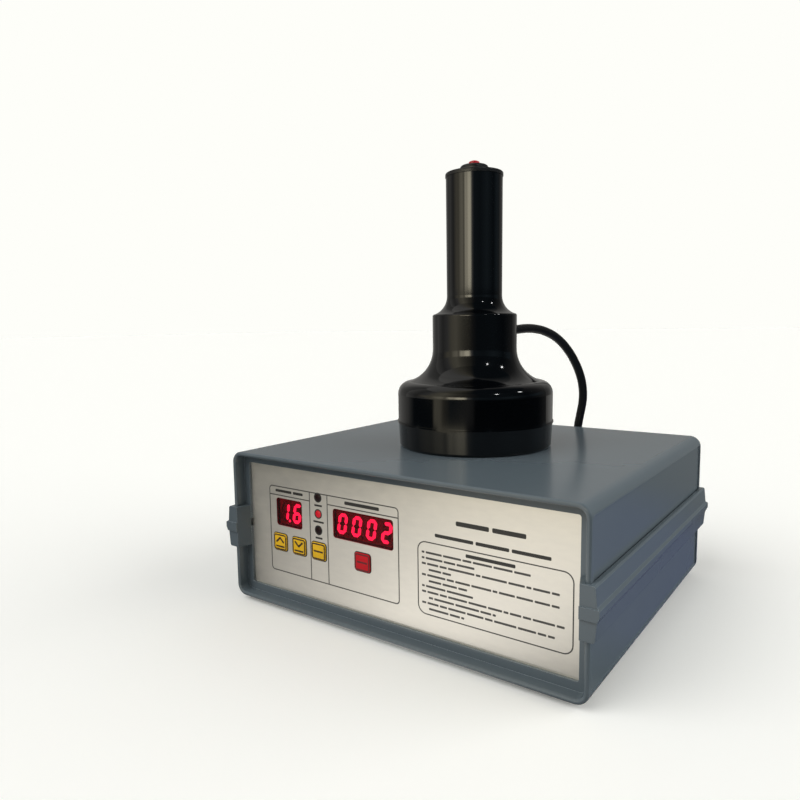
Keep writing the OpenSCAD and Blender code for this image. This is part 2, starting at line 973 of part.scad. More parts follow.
module resonant_capacitors() {
  film_w = 32;
  film_d = 15;
  film_h = 26;
  film_gap = 3;
  film_inset = [26, 23];
  color("firebrick")
    for (i = [0, 1])
      translate([
        board_x - board_w / 2 + film_inset[0],
        board_y - board_d / 2 + film_inset[1] + i * (film_d + film_gap), z_board_top
      ])
        linear_extrude(film_h)
          rounded_rect(film_w, film_d, 2);
}

module line_choke() {
  ring_r = 15;
  ring_w = 11;
  ring_h = 14;
  ring_inset = 28;
  color("peru")
    translate([board_x - board_w / 2 + ring_inset, board_y + board_d / 2 - ring_inset, z_board_top])
      rotate_extrude()
        translate([ring_r, ring_h / 2])
          rounded_rect(ring_w, ring_h, 3);
}

module supply_transformer() {
  core_w = 32;
  core_d = 14;
  core_h = 27;
  limb = 6;
  coil_d = 26;
  core_inset = [42, 28];
  color("dimgray")
    translate([board_x + board_w / 2 - core_inset[0], board_y - board_d / 2 + core_inset[1], z_board_top]) {
      translate([0, core_d / 2, 0])
        rotate([90, 0, 0])
          linear_extrude(core_d)
            difference() {
              translate([0, core_h / 2])
                square([core_w, core_h], center = true);
              translate([0, core_h / 2])
                square([core_w - 2 * limb, core_h - 2 * limb], center = true);
            }
      translate([0, 0, core_h / 2])
        linear_extrude(core_h - 2 * limb, center = true)
          rounded_rect(core_w - 2 * limb + merge, coil_d, 3);
    }
}

// Places children on the fan's axis, with Z turned into the case's depth
module on_fan_axis(y) {
  translate([fan_x, y, z_mid])
    rotate([-90, 0, 0])
      children();
}

// Places children at the four fan screws
module at_fan_holes() {
  for (sx = [-1, 1], sy = [-1, 1])
    translate([sx * fan_hole_pitch / 2, sy * fan_hole_pitch / 2, 0])
      children();
}

module fan_frame() {
  color("black")
    on_fan_axis(y_rear_in - fan_t)
      difference() {
        union() {
          difference() {
            linear_extrude(fan_t)
              rounded_rect(fan_side, fan_side, fan_corner_r);
            post(fan_bore_r, -over, fan_t + over);
          }
          post(fan_hub_r, 0, fan_hub_t);
          for (turn = [45 : 90 : 315])
            rotate([0, 0, turn])
              translate([fan_hub_r - merge, -fan_strut_w / 2, 0])
                cube([fan_bore_r - fan_hub_r + 2 * merge, fan_strut_w, fan_strut_t]);
        }
        post(fan_shaft_r + run_gap, -over, fan_hub_t + over);
        at_fan_holes()
          post(screw_d / 2 + seat_gap, -over, fan_t + over);
      }
}

module fan_rotor() {
  rotor_from = fan_hub_t + fan_face_gap;
  rotor_h = fan_t - rotor_from - 1.5;
  tip_r = fan_bore_r - fan_tip_gap;
  blade_w = rotor_h / sin(blade_pitch);
  color("dimgray")
    on_fan_axis(y_rear_in - fan_t) {
      post(fan_hub_r, rotor_from, rotor_from + rotor_h);
      post(fan_shaft_r, fan_face_gap, rotor_from + merge);
      for (i = [0 : blade_count - 1])
        rotate([0, 0, i * 360 / blade_count])
          intersection() {
            difference() {
              post(tip_r, rotor_from + 1, rotor_from + rotor_h - 1);
              post(fan_hub_r - merge, rotor_from, rotor_from + rotor_h);
            }
            translate([0, 0, rotor_from + rotor_h / 2])
              rotate([90 - blade_pitch, 0, 0])
                translate([0, -blade_t / 2, -blade_w / 2])
                  cube([tip_r + over, blade_t, blade_w]);
          }
    }
}

module fan_guard() {
  rings = floor((fan_bore_r - guard_bar) / guard_pitch);
  color("black")
    on_fan_axis(y_rear_out)
      linear_extrude(guard_t)
        difference() {
          union() {
            for (i = [1 : rings])
              difference() {
                circle(i * guard_pitch + guard_bar / 2);
                circle(i * guard_pitch - guard_bar / 2);
              }
            difference() {
              circle(fan_bore_r + guard_bar);
              circle(fan_bore_r);
            }
            for (turn = [45, 135])
              rotate(turn)
                square([fan_hole_pitch * sqrt(2), guard_bar], center = true);
            for (sx = [-1, 1], sy = [-1, 1])
              translate([sx * fan_hole_pitch / 2, sy * fan_hole_pitch / 2])
                circle(guard_lug_r);
          }
          for (sx = [-1, 1], sy = [-1, 1])
            translate([sx * fan_hole_pitch / 2, sy * fan_hole_pitch / 2])
              circle(screw_d / 2 + seat_gap);
        }
}

module fan_screws() {
  color("gainsboro")
    on_fan_axis(y_rear_out)
      at_fan_holes() {
        post(screw_d / 2, -panel_t - fan_t / 2, guard_t + merge);
        post(small_head_r, guard_t, guard_t + small_head_h);
      }
}

// Mouth of the mains inlet, with its two cut corners
module inlet_mouth() {
  w = inlet_mouth_w / 2;
  h = inlet_mouth_h / 2;
  cut = inlet_mouth_cut;
  polygon([[-w, -h], [w, -h], [w, h - cut], [w - cut, h], [cut - w, h], [-w, h - cut]]);
}

// Places children at the three contacts of the inlet, drawn in X and Z
module at_inlet_pins() {
  for (pin = [[-pin_dx, pin_dz], [0, earth_dz], [pin_dx, pin_dz]])
    translate([inlet_x + pin[0], inlet_z + pin[1]])
      children();
}

module mains_inlet() {
  y_out = y_rear_out + inlet_flange_t;
  color("black")
    difference() {
      union() {
        along_y(y_rear_out, y_out)
          translate([inlet_x, inlet_z])
            rounded_rect(inlet_flange_w, inlet_flange_h, inlet_flange_r);
        along_y(y_rear_out - inlet_body_l, y_rear_out + merge)
          translate([inlet_x, inlet_z])
            square([inlet_body_w, inlet_body_h], center = true);
      }
      along_y(y_out - inlet_mouth_l, y_out + over)
        translate([inlet_x, inlet_z])
          inlet_mouth();
      along_y(y_rear_out - inlet_body_l - over, y_out)
        at_inlet_pins()
          square([pin_t + 2 * run_gap, pin_h + 2 * run_gap], center = true);
      for (sx = [-1, 1])
        translate([inlet_x + sx * inlet_screw_pitch / 2, 0, inlet_z])
          bar_y(screw_d / 2 + seat_gap, y_rear_out - over, y_out + over);
    }
}

module inlet_pins() {
  y_mouth = y_rear_out + inlet_flange_t - inlet_mouth_l;
  color("gainsboro")
    along_y(y_rear_out - inlet_body_l - pin_tail, y_mouth + pin_l)
      at_inlet_pins()
        square([pin_t, pin_h], center = true);
}

module inlet_screws() {
  y_out = y_rear_out + inlet_flange_t;
  color("gainsboro")
    for (sx = [-1, 1])
      translate([inlet_x + sx * inlet_screw_pitch / 2, 0, inlet_z]) {
        bar_y(screw_d / 2, y_rear_in - small_bite, y_out + merge);
        bar_y(small_head_r, y_out, y_out + small_head_h);
      }
}

// Opening in the switch frame that the rocker swings in
module switch_room() {
  square([rocker_w + 2 * rocker_side_gap, rocker_l + 2 * rocker_end_gap], center = true);
}

module switch_frame() {
  body_w = rocker_w + 2 * rocker_side_gap + 2 * switch_wall;
  body_h = rocker_l + 2 * rocker_end_gap + 2 * switch_wall;
  color("black")
    translate([inlet_x, 0, rocker_z])
      difference() {
        union() {
          along_y(y_rear_out - switch_body_l, y_rear_out + merge)
            square([body_w, body_h], center = true);
          along_y(y_rear_out, y_rear_out + switch_bezel_t)
            rounded_rect(body_w + 2 * switch_bezel_lip, body_h + 2 * switch_bezel_lip, 1.6);
        }
        along_y(y_pivot - rocker_room, y_rear_out + switch_bezel_t + over)
          switch_room();
        translate([0, y_pivot, 0])
          rotate([0, 90, 0])
            cylinder(
              r = rocker_pin_r + run_gap,
              h = rocker_w + 2 * rocker_side_gap + 2 * rocker_pin_l, center = true
            );
      }
}

module switch_rocker() {
  end = rocker_l / 2;
  color("firebrick")
    translate([inlet_x, y_pivot, rocker_z])
      rotate([-rocker_swing / 2, 0, 0]) {
        rotate([90, 0, 90])
          linear_extrude(rocker_w, center = true)
            polygon([
              [-rocker_root, -end * 0.6], [-rocker_root, end * 0.6], [0, end], [rocker_rise, end],
              [rocker_dip, 0], [rocker_rise, -end], [0, -end]
            ]);
        rotate([0, 90, 0])
          cylinder(r = rocker_pin_r, h = rocker_w + 2 * rocker_pin_l, center = true);
      }
}

module rear_panel() {
  switch_w = rocker_w + 2 * rocker_side_gap + 2 * switch_wall + 2 * inlet_gap;
  switch_h = rocker_l + 2 * rocker_end_gap + 2 * switch_wall + 2 * inlet_gap;
  color("silver")
    along_y(y_rear_in, y_rear_out)
      difference() {
        case_outline(plate_inset);
        translate([fan_x, z_mid]) {
          circle(fan_bore_r);
          for (sx = [-1, 1], sz = [-1, 1])
            translate([sx * fan_hole_pitch / 2, sz * fan_hole_pitch / 2])
              circle(screw_d / 2 + seat_gap);
        }
        translate([inlet_x, inlet_z]) {
          square([inlet_body_w + 2 * inlet_gap, inlet_body_h + 2 * inlet_gap], center = true);
          for (sx = [-1, 1])
            translate([sx * inlet_screw_pitch / 2, 0])
              circle(screw_d / 2 + seat_gap);
        }
        translate([inlet_x, rocker_z])
          square([switch_w, switch_h], center = true);
        translate([gland_x, gland_z])
          circle(gland_thread_r + seat_gap);
      }
}

module rubber_feet() {
  foot_edge = 1;
  color("dimgray")
    at_feet()
      rotate_extrude()
        intersection() {
          translate([0, foot_h])
            rounded_rect(foot_d, 2 * foot_h, foot_edge);
          square([foot_d, foot_h]);
        }
}

module shell_screws() {
  color("gainsboro")
    at_shell_posts() {
      post(shell_screw_d / 2, shell_seat_z - merge, z_split + shell_bite - over);
      post(shell_head_r, shell_seat_z - shell_head_h, shell_seat_z);
    }
}

// Places children at the screws of the coil cover
module at_cover_screws() {
  for (i = [0 : cover_screw_count - 1])
    rotate([0, 0, 45 + i * 360 / cover_screw_count])
      translate([cover_post_ring, 0, z_top])
        children();
}

// Outer profile of the head body, from its joint with the coil cover to the handle's top
module head_profile() {
  translate([0, -cover_h]) {
    translate([0, cover_h]) {
      square([head_r, shoulder_h - shoulder_r - cover_h]);
      square([head_r - shoulder_r, shoulder_h - cover_h]);
    }
    translate([head_r - shoulder_r, shoulder_h - shoulder_r])
      intersection() {
        circle(shoulder_r);
        square(shoulder_r);
      }
    difference() {
      translate([0, shoulder_h - merge])
        square([flare_foot_r, neck_from - shoulder_h + merge]);
      translate([neck_r + flare_r, neck_from])
        circle(flare_r);
    }
    translate([0, neck_from - merge])
      square([neck_r, neck_top - neck_edge_r - neck_from + merge]);
    translate([0, shoulder_h])
      square([neck_r - neck_edge_r, neck_top - shoulder_h]);
    translate([neck_r - neck_edge_r, neck_top - neck_edge_r])
      intersection() {
        circle(neck_edge_r);
        square(neck_edge_r);
      }
    difference() {
      translate([0, neck_top - merge])
        square([neck_r - neck_edge_r, grip_from - neck_top + merge]);
      translate([grip_r + grip_flare_r, grip_from])
        circle(grip_flare_r);
    }
    polygon([[0, neck_top], [grip_r, grip_from], [grip_r + grip_swell, grip_top], [0, grip_top]]);
  }
}

module head_body() {
  color("black")
    difference() {
      union() {
        difference() {
          translate([0, 0, z_top + cover_h])
            rotate_extrude()
              head_profile();
          translate([0, 0, z_top]) {
            post(bay_r, cover_h - over, bay_top);
            post(neck_bore_r, bay_top - over, neck_bore_top);
            post(grip_bore_r, neck_bore_top - over, grip_top + over);
          }
        }
        at_cover_screws()
          post(cover_post_r, cover_h, bay_top + merge);
      }
      at_cover_screws()
        post(screw_d / 2 + seat_gap, cover_h - over, cover_h + cover_bite + over);
      translate([0, 0, z_top + cord_exit_h])
        rotate([0, 90, cord_turn])
          post(boot_wall_r + seat_gap, neck_bore_r / 2, neck_r + over);
    }
}

module coil_cover() {
  foot_r = head_r - cover_draft;
  color("black")
    difference() {
      union() {
        translate([0, 0, z_top])
          rotate_extrude()
            difference() {
              union() {
                polygon([
                  [0, 0], [foot_r - cover_foot_r, 0], [foot_r, cover_foot_r], [head_r, cover_h], [0, cover_h]
                ]);
                translate([foot_r - cover_foot_r, cover_foot_r])
                  intersection() {
                    circle(cover_foot_r);
                    translate([0, -cover_foot_r])
                      square(cover_foot_r);
                  }
                translate([0, cover_h - bead_h])
                  square([head_r + bead_t, bead_h]);
                translate([bay_r - seat_gap - spigot_t, cover_h - merge])
                  square([spigot_t, spigot_h + merge]);
              }
              translate([0, head_wall])
                square([bay_r - seat_gap - spigot_t, cover_h]);
            }
        at_cover_screws()
          post(cover_post_r, head_wall - merge, cover_h);
      }
      at_cover_screws() {
        post(screw_d / 2 + seat_gap, -over, cover_h + over);
        post(small_head_r + seat_gap, -over, cover_head_z + small_head_h);
      }
    }
}

module coil_former() {
  color("tan")
    translate([0, 0, z_top + head_wall]) {
      difference() {
        union() {
          post(former_r, 0, former_t);
          post(former_hub_r, 0, former_t + former_hub_h);
        }
        post(former_hub_r - 2, former_t, former_t + former_hub_h + over);
      }
    }
}

module induction_coil() {
  color("chocolate")
    translate([0, 0, z_top + z_coil])
      rotate_extrude()
        for (i = [0 : litz_turns - 1])
          translate([litz_from + i * litz_pitch, 0])
            circle(litz_r);
}

module ferrite_bars() {
  color("dimgray")
    for (i = [0 : ferrite_count - 1])
      rotate([0, 0, i * 360 / ferrite_count])
        translate([ferrite_from, -ferrite_w / 2, z_top + z_ferrite])
          cube([ferrite_l, ferrite_w, ferrite_h]);
}

module cover_screws() {
  color("gainsboro")
    at_cover_screws() {
      post(screw_d / 2, cover_head_z + merge, cover_h + cover_bite);
      post(small_head_r, cover_head_z, cover_head_z + small_head_h);
    }
}

module handle_cap() {
  lip_r = grip_r + grip_swell + cap_lip;
  plug_r = grip_bore_r - seat_gap;
  color("black")
    translate([0, 0, z_top])
      rotate_extrude()
        difference() {
          union() {
            translate([0, grip_top])
              square([lip_r, cap_t - cap_edge_r]);
            translate([0, grip_top])
              square([lip_r - cap_edge_r, cap_t]);
            translate([lip_r - cap_edge_r, z_cap - cap_edge_r])
              intersection() {
                circle(cap_edge_r);
                square(cap_edge_r);
              }
            translate([plug_r - cap_plug_wall, grip_top - cap_plug_l])
              square([cap_plug_wall, cap_plug_l + merge]);
          }
          square([barrel_r + seat_gap, z_cap + over]);
        }
}

module trigger_bezel() {
  bore_r = trigger_r + key_gap;
  color("black")
    translate([0, 0, z_top])
      rotate_extrude()
        difference() {
          union() {
            translate([0, z_cap])
              square([bezel_r, bezel_h - bezel_edge_r]);
            translate([0, z_cap])
              square([bezel_r - bezel_edge_r, bezel_h]);
            translate([bezel_r - bezel_edge_r, z_bezel - bezel_edge_r])
              intersection() {
                circle(bezel_edge_r);
                square(bezel_edge_r);
              }
            translate([0, z_cap - barrel_l])
              square([barrel_r, barrel_l + merge]);
          }
          square([bore_r, z_bezel + over]);
          square([barrel_r - barrel_wall, z_bezel - trigger_neck_l]);
        }
}

module trigger_button() {
  z_out = z_bezel + trigger_proud;
  z_rim = z_bezel - trigger_neck_l - key_gap;
  z_stem = z_cap - barrel_l + trigger_travel + key_gap;
  dome_r = (trigger_r * trigger_r + trigger_dome * trigger_dome) / (2 * trigger_dome);
  color("red")
    translate([0, 0, z_top])
      rotate_extrude() {
        translate([0, z_rim - trigger_flange_t])
          square([trigger_r, z_out - trigger_dome - z_rim + trigger_flange_t]);
        intersection() {
          translate([0, z_out - dome_r])
            circle(dome_r);
          translate([0, z_out - trigger_dome - merge])
            square([trigger_r, trigger_dome + merge]);
        }
        translate([0, z_rim - trigger_flange_t])
          square([trigger_r + trigger_flange_lip - key_gap, trigger_flange_t]);
        translate([0, z_stem])
          square([trigger_stem_r, z_rim - z_stem]);
      }
}

module trigger_nut() {
  color("gainsboro")
    translate([0, 0, z_top + grip_top - trigger_nut_t])
      difference() {
        cylinder(r = trigger_nut_r, h = trigger_nut_t, $fn = 6);
        post(barrel_r + seat_gap, -over, trigger_nut_t + over);
      }
}

module trigger_switch() {
  z_can = z_cap - barrel_l;
  tab_w = 4;
  tab_t = 0.8;
  color("dimgray")
    translate([0, 0, z_top]) {
      post(barrel_r, z_can - switch_can_l, z_can);
      for (sx = [-1, 1])
        translate([sx * barrel_r / 2 - tab_t / 2, -tab_w / 2, z_can - switch_can_l - switch_tab_l])
          cube([tab_t, tab_w, switch_tab_l + merge]);
    }
}

module cord_boot() {
  x_wall = neck_r + seat_gap;
  color("black")
    translate([0, 0, z_top + cord_exit_h])
      rotate([0, 90, cord_turn])
        rotate_extrude()
          difference() {
            union() {
              translate([0, neck_bore_r - boot_flange_t])
                square([boot_wall_r, x_wall - neck_bore_r + boot_flange_t + merge]);
              translate([0, neck_bore_r - boot_flange_t - 1.2])
                square([boot_flange_r, boot_flange_t]);
              translate([0, x_wall])
                square([boot_flange_r, boot_flange_t]);
              polygon([
                [0, x_wall], [boot_wall_r + 1, x_wall], [boot_tip_r, x_wall + boot_l], [0, x_wall + boot_l]
              ]);
            }
            square([cord_r + cord_gap, neck_r + boot_l + 2 * over]);
          }
}

module cable_gland() {
  y_hex = y_rear_out + gland_hex_t;
  y_nut = y_hex + gland_nut_t;
  color("black")
    translate([gland_x, 0, gland_z])
      difference() {
        union() {
          bar_y(gland_thread_r, y_rear_out - gland_thread_l, y_hex);
          along_y(y_rear_out, y_hex)
            circle(gland_hex_r, $fn = 6);
          along_y(y_hex - merge, y_nut)
            circle(gland_nut_r, $fn = 6);
          translate([0, y_nut - merge, 0])
            rotate([-90, 0, 0])
              cylinder(r1 = gland_nut_r * 0.86, r2 = gland_tip_r, h = gland_dome_t + merge);
        }
        bar_y(cord_r + cord_gap, y_rear_out - gland_thread_l - over, y_nut + gland_dome_t + over);
      }
}

module gland_locknut() {
  color("black")
    translate([gland_x, 0, gland_z])
      along_y(y_rear_in - locknut_t, y_rear_in)
        difference() {
          circle(gland_hex_r, $fn = 6);
          circle(gland_thread_r + seat_gap);
        }
}

// Unit vector
function unit(v) = v / norm(v);
// Direction of a route at one of its points
function heading(route, i) =
  unit(route[min(i + 1, len(route) - 1)] - route[max(i - 1, 0)]);
// Sideways direction for a ring of the tube at a route point
function sideways(route, i) = unit(cross(heading(route, i), [0.9, -0.3, 0.2]));
// One ring of points around a route point
function ring(route, i) = [
  for (k = [0 : cord_sides - 1])
    let (
      a = k * 360 / cord_sides,
      u = sideways(route, i),
      v = cross(heading(route, i), u)
    )
      route[i] + cord_r * (cos(a) * u + sin(a) * v)
];

// Tube swept along a route
module tube(route) {
  n = cord_sides;
  last = len(route) - 1;
  polyhedron(
    points = [for (i = [0 : last]) each ring(route, i)],
    faces = concat(
      [[for (k = [0 : n - 1]) k]],
      [for (i = [0 : last - 1], k = [0 : n - 1])
        [i * n + k, (i + 1) * n + k, (i + 1) * n + (k + 1) % n, i * n + (k + 1) % n]],
      [[for (k = [0 : n - 1]) last * n + n - 1 - k]]
    )
  );
}

module head_cord() {
  color("black")
    tube(head_route);
}

module cord_tail() {
  color("black")
    tube(tail_route);
}

// Section of the coiled cord, drawn beside the coil's axis
module coil_section(grow) {
  translate([(coil_in_r + coil_out_r) / 2, tie_t + coil_layers * cord_r])
    rounded_rect(
      coil_out_r - coil_in_r + cord_d + 2 * grow, coil_layers * cord_d + 2 * grow, cord_r + grow
    );
}

module cord_coil() {
  color("black")
    translate([coil_x, coil_y, 0])
      rotate_extrude()
        coil_section(0);
}

module cord_tie() {
  color("dimgray")
    translate([coil_x, coil_y, 0])
      rotate([0, 0, tie_turn])
        rotate_extrude(angle = tie_spread)
          difference() {
            coil_section(tie_t);
            coil_section(seat_gap);
          }
}

bottom_shell();
top_shell();
side_strip_left();
side_strip_right();
front_panel();
panel_film();
rear_panel();
rubber_feet();
shell_screws();
count_window();
time_window();
count_display();
time_display();
lamp_high();
lamp_middle();
lamp_low();
key_increase();
key_reduce();
key_power();
key_reset();
key_switches();
control_board();
control_spacers();
control_screws();
power_board();
power_board_screws();
heat_sink();
power_transistors();
bridge_rectifier();
filter_capacitors();
resonant_capacitors();
line_choke();
supply_transformer();
fan_frame();
fan_rotor();
fan_guard();
fan_screws();
mains_inlet();
inlet_pins();
inlet_screws();
switch_frame();
switch_rocker();
cable_gland();
gland_locknut();
head_body();
coil_cover();
coil_former();
induction_coil();
ferrite_bars();
cover_screws();
handle_cap();
trigger_bezel();
trigger_button();
trigger_nut();
trigger_switch();
cord_boot();
head_cord();
cord_coil();
cord_tail();
cord_tie();
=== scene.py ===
"""Looks of an induction cap sealer: a case with its control panel, and a corded sealing head.

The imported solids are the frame. This script gives each solid its finish, lays the cord from the
head to the case, softens the keys, prints the panel, lights its digits and sets up the studio.
"""

import logging
import math
from collections.abc import Iterator, Sequence
from contextlib import contextmanager
from dataclasses import dataclass, field
from enum import Enum

import bpy
from mathutils import Matrix, Vector


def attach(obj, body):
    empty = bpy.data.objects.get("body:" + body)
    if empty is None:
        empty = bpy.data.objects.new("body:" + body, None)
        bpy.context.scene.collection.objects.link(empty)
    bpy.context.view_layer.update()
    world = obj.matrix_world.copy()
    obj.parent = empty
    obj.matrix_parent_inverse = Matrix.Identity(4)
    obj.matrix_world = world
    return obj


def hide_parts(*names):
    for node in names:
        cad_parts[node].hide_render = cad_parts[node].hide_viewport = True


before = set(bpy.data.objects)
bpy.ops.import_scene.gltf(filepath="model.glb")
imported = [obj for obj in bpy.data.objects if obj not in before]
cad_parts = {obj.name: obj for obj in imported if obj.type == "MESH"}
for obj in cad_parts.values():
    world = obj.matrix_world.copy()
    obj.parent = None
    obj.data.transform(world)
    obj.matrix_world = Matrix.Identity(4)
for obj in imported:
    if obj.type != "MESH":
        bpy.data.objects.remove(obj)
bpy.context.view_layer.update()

Colour = tuple[float, float, float, float]
Place = tuple[float, float, float]
Span = tuple[float, float]
Socket = bpy.types.NodeSocket

MM = 0.001
QUARTER_TURN = math.pi / 2

BLACK: Colour = (0.0, 0.0, 0.0, 1.0)
UNSTRETCHED: Place = (1.0, 1.0, 1.0)
# Most of a noise's values lie in this span
NOISE_MIDDLE: Span = (0.3, 0.7)
DRIFT_DETAIL = 3.0
GRAIN_DETAIL = 2.0
GLOW_DETAIL = 1.0
EDGE_SAMPLES = 4
ROUND_PROFILE = 0.5
# Sockets of a colour mix node, whose names repeat
MIX_SHARE, MIX_FIRST, MIX_SECOND, MIX_RESULT = 0, 6, 7, 2

log = logging.getLogger("cap_sealer")


class Body(str, Enum):
    """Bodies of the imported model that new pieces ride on."""

    CASE = "case"
    INCREASE = "increase_key"
    REDUCE = "reduce_key"
    POWER = "power_key"
    RESET = "reset_key"


def srgb(red: int, green: int, blue: int) -> Colour:
    """Turns an 8-bit screen colour into the linear colour that shaders take.

    Args:
        red: Red level, 0 to 255.
        green: Green level, 0 to 255.
        blue: Blue level, 0 to 255.

    Returns:
        The linear colour with full alpha.
    """
    levels = [level / 255 for level in (red, green, blue)]
    linear = [x / 12.92 if x <= 0.04045 else ((x + 0.055) / 1.055) ** 2.4 for x in levels]
    return (linear[0], linear[1], linear[2], 1.0)


def shade(colour: Colour, share: float) -> Colour:
    """Multiplies a colour's light by a share and keeps its alpha."""
    return (colour[0] * share, colour[1] * share, colour[2] * share, colour[3])


class NodeTree:
    """A node tree, filled a node at a time."""

    def __init__(self, tree: bpy.types.NodeTree) -> None:
        """Takes up a tree that exists."""
        self.tree = tree

    def feed(self, socket: Socket, value: object) -> None:
        """Links a socket to another socket, or sets its value.

        Args:
            socket: The socket to feed.
            value: The socket to link it to, or its new value.
        """
        if isinstance(value, Socket):
            self.tree.links.new(value, socket)
        else:
            socket.default_value = value

    def node(self, kind: str, inputs: dict[str, object], **settings: object) -> bpy.types.Node:
        """Adds a node.

        Args:
            kind: Blender's type name of the node.
            inputs: Values or sockets for its inputs, by input name.
            **settings: Options of the node itself.

        Returns:
            The new node.
        """
        made = self.tree.nodes.new(kind)
        for key, value in settings.items():
            setattr(made, key, value)
        for key, value in inputs.items():
            self.feed(made.inputs[key], value)
        return made

    def coords(self, stretch: Place = UNSTRETCHED) -> Socket:
        """Finds a point's place on the object.

        Args:
            stretch: Factors along the axes.

        Returns:
            Object coordinates, times those factors.
        """
        plain = self.node("ShaderNodeTexCoord", {}).outputs["Object"]
        if stretch == UNSTRETCHED:
            return plain
        return self.node("ShaderNodeMapping", {"Vector": plain, "Scale": stretch}).outputs["Vector"]

    def noise(self, coords: Socket, scale: float, detail: float) -> Socket:
        """Noise of a given number of features a metre."""
        inputs = {"Vector": coords, "Scale": scale, "Detail": detail}
        return self.node("ShaderNodeTexNoise", inputs).outputs["Fac"]

    def span(self, value: Socket, low: float, high: float) -> Socket:
        """Spreads the middle of a noise over a range of values.

        Args:
            value: The noise.
            low: Start of the range.
            high: End of the range.

        Returns:
            The noise, spread over the range.
        """
        start, end = NOISE_MIDDLE
        inputs = {"Value": value, "From Min": start, "From Max": end, "To Min": low, "To Max": high}
        return self.node("ShaderNodeMapRange", inputs).outputs["Result"]

    def ramp(self, value: Socket, stops: Sequence[tuple[float, Colour]]) -> Socket:
        """Turns a value into a colour between stops.

        Args:
            value: The value, from 0 to 1.
            stops: Values, in rising order, with their colours.

        Returns:
            The colour.
        """
        made = self.node("ShaderNodeValToRGB", {"Fac": value})
        elements = made.color_ramp.elements
        while len(elements) < len(stops):
            elements.new(position=0.5)  # a start, as the next lines place it
        for element, (position, colour) in zip(elements, stops):
            element.position = position
            element.color = colour
        return made.outputs["Color"]

    def math(self, operation: str, *values: object) -> Socket:
        """Works out one sum.

        Args:
            operation: Blender's name of the sum.
            *values: Values or sockets that go into it.

        Returns:
            Its result.
        """
        made = self.node("ShaderNodeMath", {}, operation=operation)
        for socket, value in zip(made.inputs, values):
            self.feed(socket, value)
        return made.outputs[0]

    def alike(self, first: object, second: object) -> Socket:
        """Tells how far two directions agree.

        Args:
            first: One direction, or a socket that gives it.
            second: The other direction, or a socket that gives it.

        Returns:
            One where they are the same, and less elsewhere.
        """
        made = self.node("ShaderNodeVectorMath", {}, operation="DOT_PRODUCT")
        self.feed(made.inputs[0], first)
        self.feed(made.inputs[1], second)
        return made.outputs["Value"]

    def rounded(self, radius: float) -> Socket:
        """Normals of a shape whose edges look rounded by a radius."""
        inputs = {"Radius": radius}
        return self.node("ShaderNodeBevel", inputs, samples=EDGE_SAMPLES).outputs["Normal"]

    def paint_edge_highlight(self, colour: Socket, radius: float, light: float) -> Socket:
        """Lightens a colour towards the edges of a shape: a painted highlight.

        Args:
            colour: The colour on flat faces.
            radius: The edges' reach in metres.
            light: How much lighter the painted highlight makes the edges.

        Returns:
            The colour with the painted highlight on its edges.
        """
        plain = self.node("ShaderNodeNewGeometry", {}).outputs["Normal"]
        # Mask of the edges, where the rounded normal leaves the plain one; the painted highlight
        # follows it
        edge = self.math("SUBTRACT", 1.0, self.alike(self.rounded(radius), plain))
        lift = {"Vector": colour, "Scale": self.math("MULTIPLY_ADD", edge, light, 1.0)}
        return self.node("ShaderNodeVectorMath", lift, operation="SCALE").outputs["Vector"]

    def shown(self) -> Socket:
        """Tells apart the rays that show a surface from those that only light others.

        Returns:
            One for rays from the camera, a mirror or a clear pane, and zero for the others.
        """
        path = self.node("ShaderNodeLightPath", {}).outputs
        mirrored = self.math("MAXIMUM", path["Is Camera Ray"], path["Is Glossy Ray"])
        return self.math("MAXIMUM", mirrored, path["Is Transmission Ray"])


class NodeSheet(NodeTree):
    """One material's node tree, with its main shader."""

    def __init__(self, name: str) -> None:
        """Starts a material that holds only its shader and output.

        Args:
            name: The material's name.
        """
        self.material = bpy.data.materials.new(name)
        self.material.use_nodes = True
        super().__init__(self.material.node_tree)
        self.shader = self.tree.nodes["Principled BSDF"]

    def bump(self, height: Socket, depth: float, strength: float, edge: float) -> None:
        """Gives the shader a relief over edges that catch the light.

        Args:
            height: The relief.
            depth: Its depth in metres.
            strength: How much of it shows.
            edge: Rounding of the edges in metres, or zero.
        """
        inputs: dict[str, object] = {"Height": height, "Distance": depth, "Strength": strength}
        if edge:
            inputs["Normal"] = self.rounded(edge)
        relief = self.node("ShaderNodeBump", inputs).outputs["Normal"]
        self.feed(self.shader.inputs["Normal"], relief)


